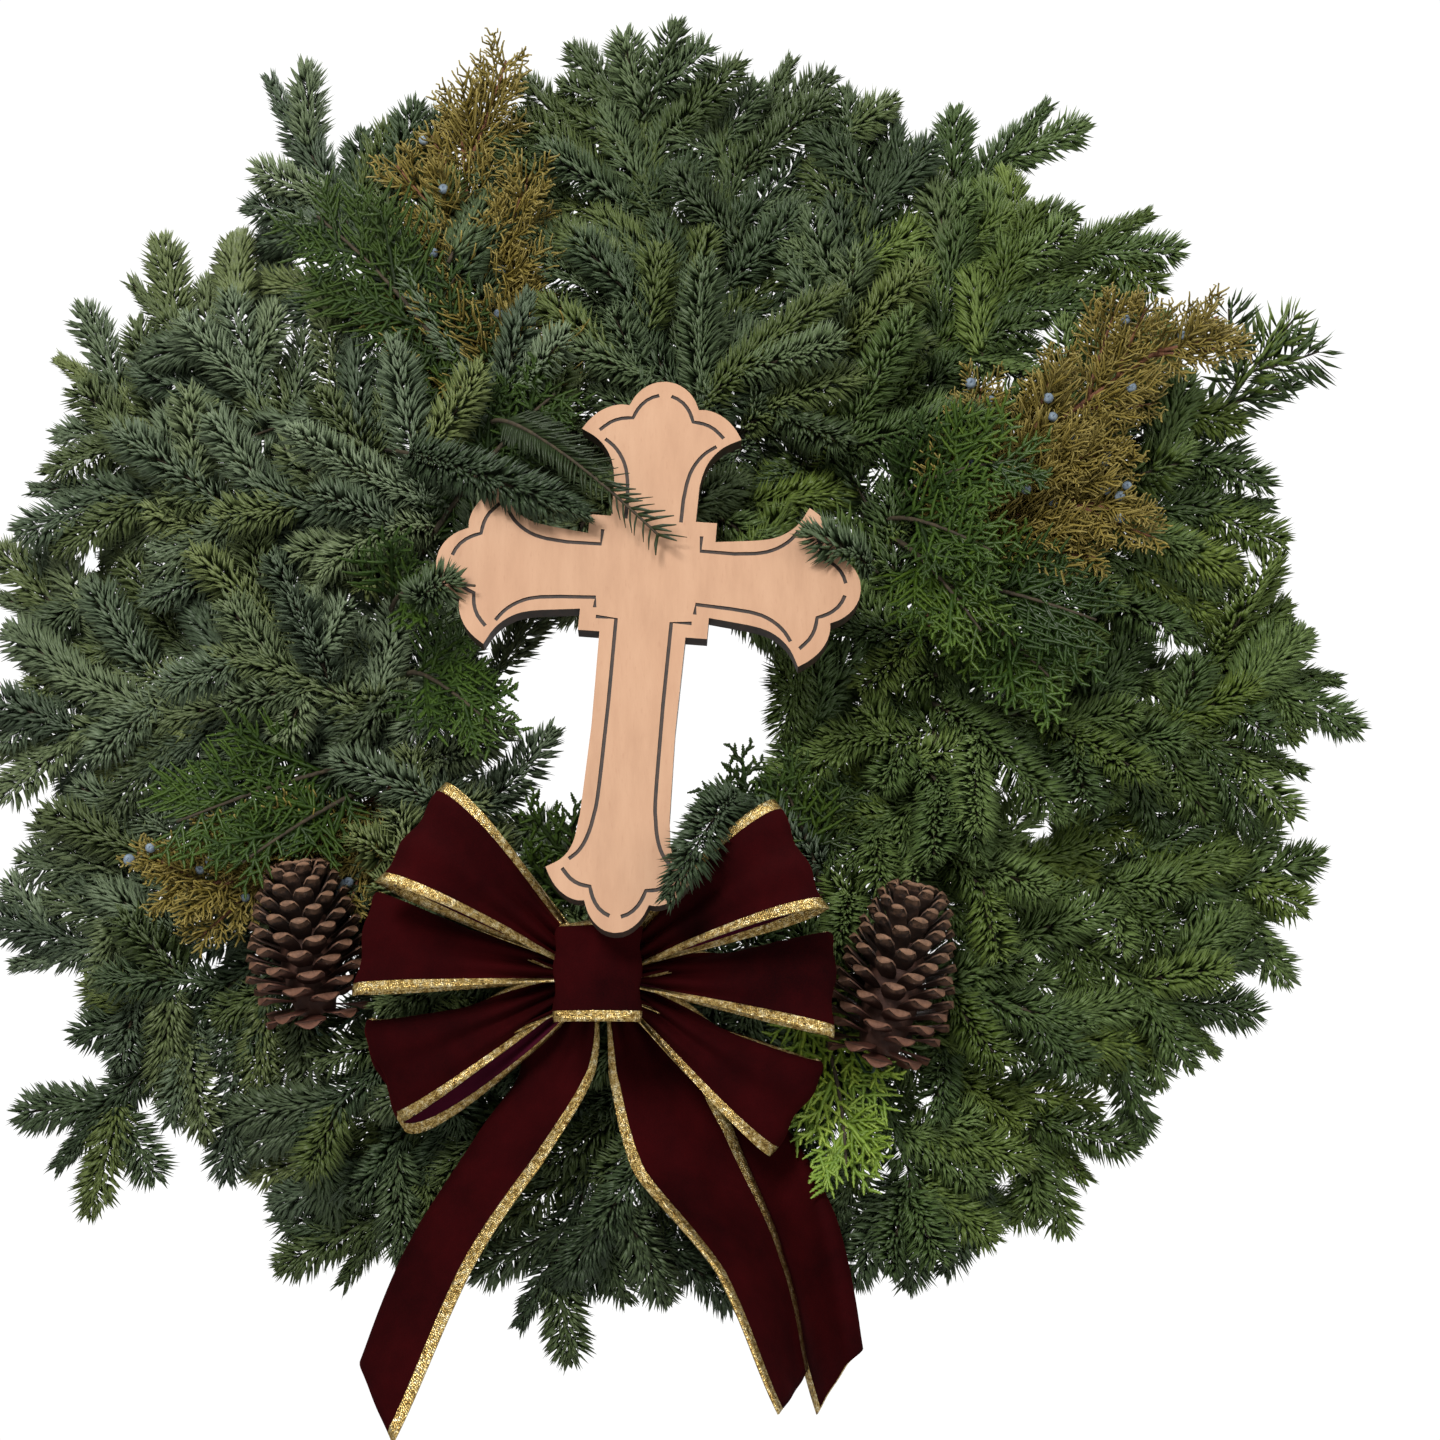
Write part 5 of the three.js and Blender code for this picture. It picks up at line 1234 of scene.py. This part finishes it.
def juniper(node, index, bough):
    """A juniper spray: reddish stems and thread-like, wandering, olive twiglets, with a
    few pale blue-grey berries."""
    stem, grown, twigs = LAID[index]
    rng = np.random.default_rng(900 + index)
    skin = Skin()
    up = FRONT
    tubes(skin, rounded(stem, 24), taper(STEM, 0.9, 24), 7, 0)
    more = offshoots(grown, rng, 6, bough[7] * 0.8, 38, 0.3, up, 0.45, 0.9)
    threads, ages, rods, seats = [], [], [], []
    for path in [path for path, _ in twigs] + more + [grown[4:]]:
        path = clear_of_made(path)
        if len(path) < 6:
            continue
        rods.append(even(path, 9))
        total = length_of(path)
        for q in offshoots(path, rng, max(8, int(total / 3.6)), min(30, total * 0.42), 48, 0.08, up, 0.8, 0.98):
            threads.append(even(q, 5))
            ages.append((0.85, 0.3))
            l = length_of(q)
            for z in offshoots(q, rng, max(6, int(l / 2.1)), max(8, l * 0.5), 40, 0.08, up, 0.9, 1.0):
                threads.append(even(z, 5))
                ages.append((0.72, 0.7))
            if rng.random() < 0.07:
                seats.append(q[5] + up * 2.5 + rng.standard_normal(3))
    p = np.stack(threads)
    ok = ~strikes(p[:, 0], p[:, 2]) & ~strikes(p[:, 2], p[:, -1])
    p, ages = p[ok], np.array(ages)[ok]
    k = np.linspace(0, 1, 5)
    p = p + (np.sin(k * math.pi * 2)[None, :, None] * rng.standard_normal((len(p), 1, 3)) * 0.7)
    tint = tints(rng.random(len(p))[:, None], k, ages[:, 1:])
    tubes(skin, p, 1.15 * ages[:, :1] * mix(1, 0.55, k), 3, 1, tint)
    tubes(skin, np.stack(rods), taper(1.5, 0.6, 9), 5, 0)
    if seats:
        seats = np.array(seats)
        ok = ~strikes(seats, seats + V(0, -4, 0), 0.004)
        berry(skin, seats[ok], 2.6 + 0.5 * rng.random(int(ok.sum())), 2)
    skin.make(node + "_live", [MAT["rind"], MAT["juniper"], MAT["berry"]], "juniper_olive", [node])


def side_tint(phi):
    """Blue-green fir on the left, dark on the right, and mid green above and below."""
    side = math.sin(math.radians(phi))
    return 0 if side < -0.3 else 2 if side > 0.45 else 1


def filler(k):
    """The sprigs that a clamp holds besides its boughs: some cover the ring from the front
    and some close in round the middle, furthest in at the top, behind the cross."""
    rng = np.random.default_rng(40 + k)
    starts = []
    for i in range(10):
        phi = clamp_angle(k) + (i - 4.5) * 3.1 + rng.uniform(-1.5, 1.5)
        turn = 1 if i % 2 else -1
        foot = polar(phi, 150 + 6 * rng.standard_normal(), -4 - 7 * rng.random())
        if i % 3 == 0:
            top = float(smooth((math.cos(math.radians(phi)) - 0.35) / 0.5))
            right = float(smooth(1 - abs(phi - 95) / 60))
            inner = mix(108, 62, top) - 22 * right + 7 * rng.standard_normal()
            tip = polar(phi + turn * 8, inner, -24 - 16 * rng.random())
            ctrl = polar(phi + turn * 2, 130, -26)
        else:
            r = 212 + 34 * rng.random() if i % 3 == 1 else 184 + 20 * rng.random()
            tip = polar(phi + turn * (15 + 6 * rng.random()), r, -50 - 22 * rng.random())
            ctrl = polar(phi + turn * 5, 170, -42)
        starts.append(arc([foot, ctrl, tip], 10))
    return starts, rng


def cover():
    """Sprigs for what would still show through: the bare place farthest from any twig, seen
    from the front, gets a sprig from a near twig, until all lie within 9 mm of one."""
    rng = np.random.default_rng(77)
    x, z = (g.ravel() for g in np.meshgrid(np.arange(-350, 351, 7.0), np.arange(-350, 351, 7.0)))
    r = np.hypot(x, z)
    open_ = (x > -98) & (x < 70) & (z > -95) & (z < 42)
    wanted = (r < 345 - 27 * np.exp(-(((x + 40) / 150) ** 2)) * (z < 0)) & ~open_
    x, z = x[wanted], z[wanted]
    seen = np.vstack([TAKEN[0], FROND_POINTS])
    bare = np.array([np.hypot(seen[:, 0] - a, seen[:, 2] - b).min() for a, b in zip(x, z)])
    found = []
    for _ in range(360):
        i = int(bare.argmax())
        if bare[i] < 9:
            break
        at = V(x[i], -14 - 22 * rng.random(), z[i])
        near = np.hypot(TAKEN[0][:, 0] - at[0], TAKEN[0][:, 2] - at[2])
        outward = np.hypot(TAKEN[0][:, 0], TAKEN[0][:, 2]) - np.hypot(at[0], at[2])
        deep = TAKEN[0][:, 1] < -60
        foot = TAKEN[0][(np.abs(near - 46) + 0.25 * np.abs(outward + 30) + 99 * deep).argmin()]
        tip = at + unit(at - foot) * 12
        path = arc([foot, mix(foot, tip, 0.5) + V(0, -5, 0), tip], 10)
        points = even(path, 12)
        off = np.hypot(x[:, None] - points[None, :, 0], z[:, None] - points[None, :, 2])
        bare = np.minimum(bare, off.min(1))
        bare[i] = 0
        found.append(path)
    return found


def side_fir(name, k, rods, brushes, rng):
    """Fir between the boughs of clamp k, in the colour of its side."""
    finish_fir(Skin(), f"{name}_{k + 1:02d}", side_tint(clamp_angle(k)), rods, brushes, rng)


for (_, grown, twigs), bough in zip(LAID, BOUGHS):
    if bough[0] == "fir":
        for path in [grown] + [t for t, _ in twigs]:
            take(path)
KINDS = {"fir": (fir, "fir_bough"), "cedar": (cedar, "cedar_frond"), "juniper": (juniper, "juniper_spray")}
counts = dict.fromkeys(KINDS, 0)
for index, bough in enumerate(BOUGHS):
    counts[bough[0]] += 1
    grow, name = KINDS[bough[0]]
    grow(f"{name}_{counts[bough[0]]:02d}", index, bough)

for k in range(CLAMPS):
    starts, rng = filler(k)
    rods, brushes = [], []
    for path in starts:
        branched(path, rng, 0.2 + 0.35 * rng.random(), rods, brushes)
    side_fir("fir_sprigs", k, rods, brushes, rng)
covers = cover()
sector = [int((math.degrees(math.atan2(p[-1][0], p[-1][2])) % 360) // 30) for p in covers]
for k in range(CLAMPS):
    rods, brushes, rng = [], [], np.random.default_rng(60 + k)
    for path in [clear_of_made(p) for p, q in zip(covers, sector) if q == k]:
        if len(path) > 6:
            rods.append((path, 1.2))
            brushes.append((path, 0.2 + 0.3 * rng.random(), 0.06))
    side_fir("fir_fill", k, rods, brushes, rng)

rng = np.random.default_rng(55)
for name, tint, gap, age, skip, twigs in (
    ("fir_sprigs_over_cross", 1, 1.5, 0.3, 0.25, zip(OVER_CROSS, (1.3, 0.8, 0.8, 0.8))),
    ("fir_sprigs_middle", 0, 2.0, 0.2, 0.15, zip(MIDDLE_SPRIGS, [1.3] * len(MIDDLE_SPRIGS))),
):
    rods, brushes = [], []
    for points, thick in twigs:
        path = clear_of_made(arc(points, 16), gap)
        if len(path) > 4:
            rods.append((path, thick))
            brushes.append((path, age, skip))
    finish_fir(Skin(), name, tint, rods, brushes, rng)

# The comb's needles start at 0.3 of its length, close together at first and 5 mm apart at
# its end, each swept a little forward.
path = even(arc(COMB, 24), 40)
total = length_of(path)
skin = Skin()
tubes(skin, path, taper(1.5, 0.7, 40), 6, 0)
at, blades = 0.3 * total, []
while at < total:
    f = at / total
    k = min(38, int(f * 39))
    p, d = mix(path[k], path[k + 1], f * 39 - k), unit(path[k + 1] - path[k])
    for aim, long in COMB_NEEDLES:
        go = unit(aim + 0.35 * d + 0.1 * rng.standard_normal(3))
        reach = long * (0.85 + 0.3 * rng.random()) * (1 - 0.3 * f)
        blades.append((p, p + go * reach * 0.5 + V(0, 0.4, 0), p + go * reach + 0.12 * reach * d))
    at += mix(1.0, 5.0, smooth((f - 0.45) / 0.4))
blades = np.array(blades)
ok = ~strikes(blades[:, 0], blades[:, 1]) & ~strikes(blades[:, 1], blades[:, 2])
tubes(skin, blades[ok], [0.8, 0.9, 0.3], 4, 1, (0.0, 0.2, 0.0, 1), 0.6)
skin.make("fir_sprig_comb_1", [MAT["bark"], MAT["fir2"]], "fir_dark_green")

for name, tint, starts in CEDAR_SPRIGS:
    skin = Skin()
    rng = np.random.default_rng(len(name))
    paths = [arc(q, 14) for q in starts]
    tubes(skin, np.stack([even(q, 12) for q in paths]), taper(1.7, 0.7, 12), 6, 0)
    more = [t for q in paths for t in offshoots(q, rng, 4, 46, 40, 0.3, FRONT, 0.15, 0.8)]
    cedar_leaves(skin, [q[5:] for q in paths] + more, rng)
    skin.make(name, [MAT["bark"], MAT[f"cedar{tint}"]], CEDARS[tint])

for name in ("juniper_berries_01", "juniper_berries_02", "juniper_berries_03"):
    lo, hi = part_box(name)
    centre = (np.array(lo) + np.array(hi)) / 2 * 1000 + HANG
    skin = Skin()
    rng = np.random.default_rng(7)
    turns = (0.3, 2.5, 4.6)
    ring = [centre + V(4.3 * math.cos(q), 0.8 * rng.standard_normal(), 4.3 * math.sin(q)) for q in turns]
    berry(skin, np.array([centre + V(0, -1.2, 0), *ring]), np.array([3.1, 2.9, 3.2, 2.8]), 0)
    skin.make(name + "_round", [MAT["berry"]], "berry_blue", [name])

# ------------------------------------------------------------------ stage, light, camera
p = Paint("pale_floor")
grey = (0.92, 0.92, 0.92)
colour = p.ramp(p.noise(3.0), (0.2, *(c * 0.985 for c in grey)), (0.8, *grey), scale=lambda *c: c)
floor_mesh = bpy.data.meshes.new("floor")
z = -2.2
floor_mesh.from_pydata([(-8, -8, z), (8, -8, z), (8, 8, z), (-8, 8, z)], [], [(0, 1, 2, 3)])
floor_mesh.materials.append(p.done(colour, 0.9))
floor = bpy.data.objects.new("floor", floor_mesh)
bpy.context.scene.collection.objects.link(floor)
floor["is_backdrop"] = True


def aimed(name, data, at, way):
    """A lamp or a camera at a place, facing a way."""
    o = bpy.data.objects.new(name, data)
    o.location = at
    o.rotation_mode = "QUATERNION"
    o.rotation_quaternion = way.to_track_quat("-Z", "Y")
    bpy.context.scene.collection.objects.link(o)
    return o


CENTRE = Vector((0.02, 0.0, -0.17))
for name, at, size, power, colour in (
    ("key", (-0.55, -1.9, 0.75), 0.7, 41, (1.0, 0.98, 0.95)),
    ("fill", (1.4, -1.5, -0.1), 1.4, 9, (0.95, 0.97, 1.0)),
    ("top", (0.1, 0.2, 1.5), 1.2, 22, (1, 1, 1)),
    ("behind", (0.4, 1.9, 0.5), 1.4, 16, (1, 1, 1)),
):
    data = bpy.data.lights.new(name, "AREA")
    data.shape, data.size, data.energy, data.color = "DISK", size, power, colour
    aimed(name, data, at, CENTRE - Vector(at))

# The studio is white: dim where it lights the wreath, bright where the camera sees it.
world = bpy.data.worlds.new("studio")
bpy.context.scene.world = world
world.use_nodes = True
tree = world.node_tree
both = tree.nodes.new("ShaderNodeMixShader")
path = tree.nodes.new("ShaderNodeLightPath")
tree.links.new(path.outputs["Is Camera Ray"], both.inputs[0])
backs = (tree.nodes["Background"], 0.48), (tree.nodes.new("ShaderNodeBackground"), 1.05)
for i, (back, strength) in enumerate(backs):
    back.inputs["Color"].default_value = (1, 1, 1, 1)
    back.inputs["Strength"].default_value = strength
    tree.links.new(back.outputs[0], both.inputs[1 + i])
tree.links.new(both.outputs[0], tree.nodes["World Output"].inputs["Surface"])
bpy.context.scene.view_settings.view_transform = "Standard"

PITCH, DISTANCE, LENS = 10.0, 1.4, 63.64
target = Vector((0.033, -0.006, -0.176))
ahead = Vector((0, math.cos(math.radians(PITCH)), math.sin(math.radians(PITCH))))
camera = aimed("camera", bpy.data.cameras.new("camera"), target - ahead * DISTANCE, ahead)
camera.data.lens, camera.data.sensor_width = LENS, 36
camera.data.clip_start, camera.data.clip_end = 0.05, 50
bpy.context.scene.camera = camera

lo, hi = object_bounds()
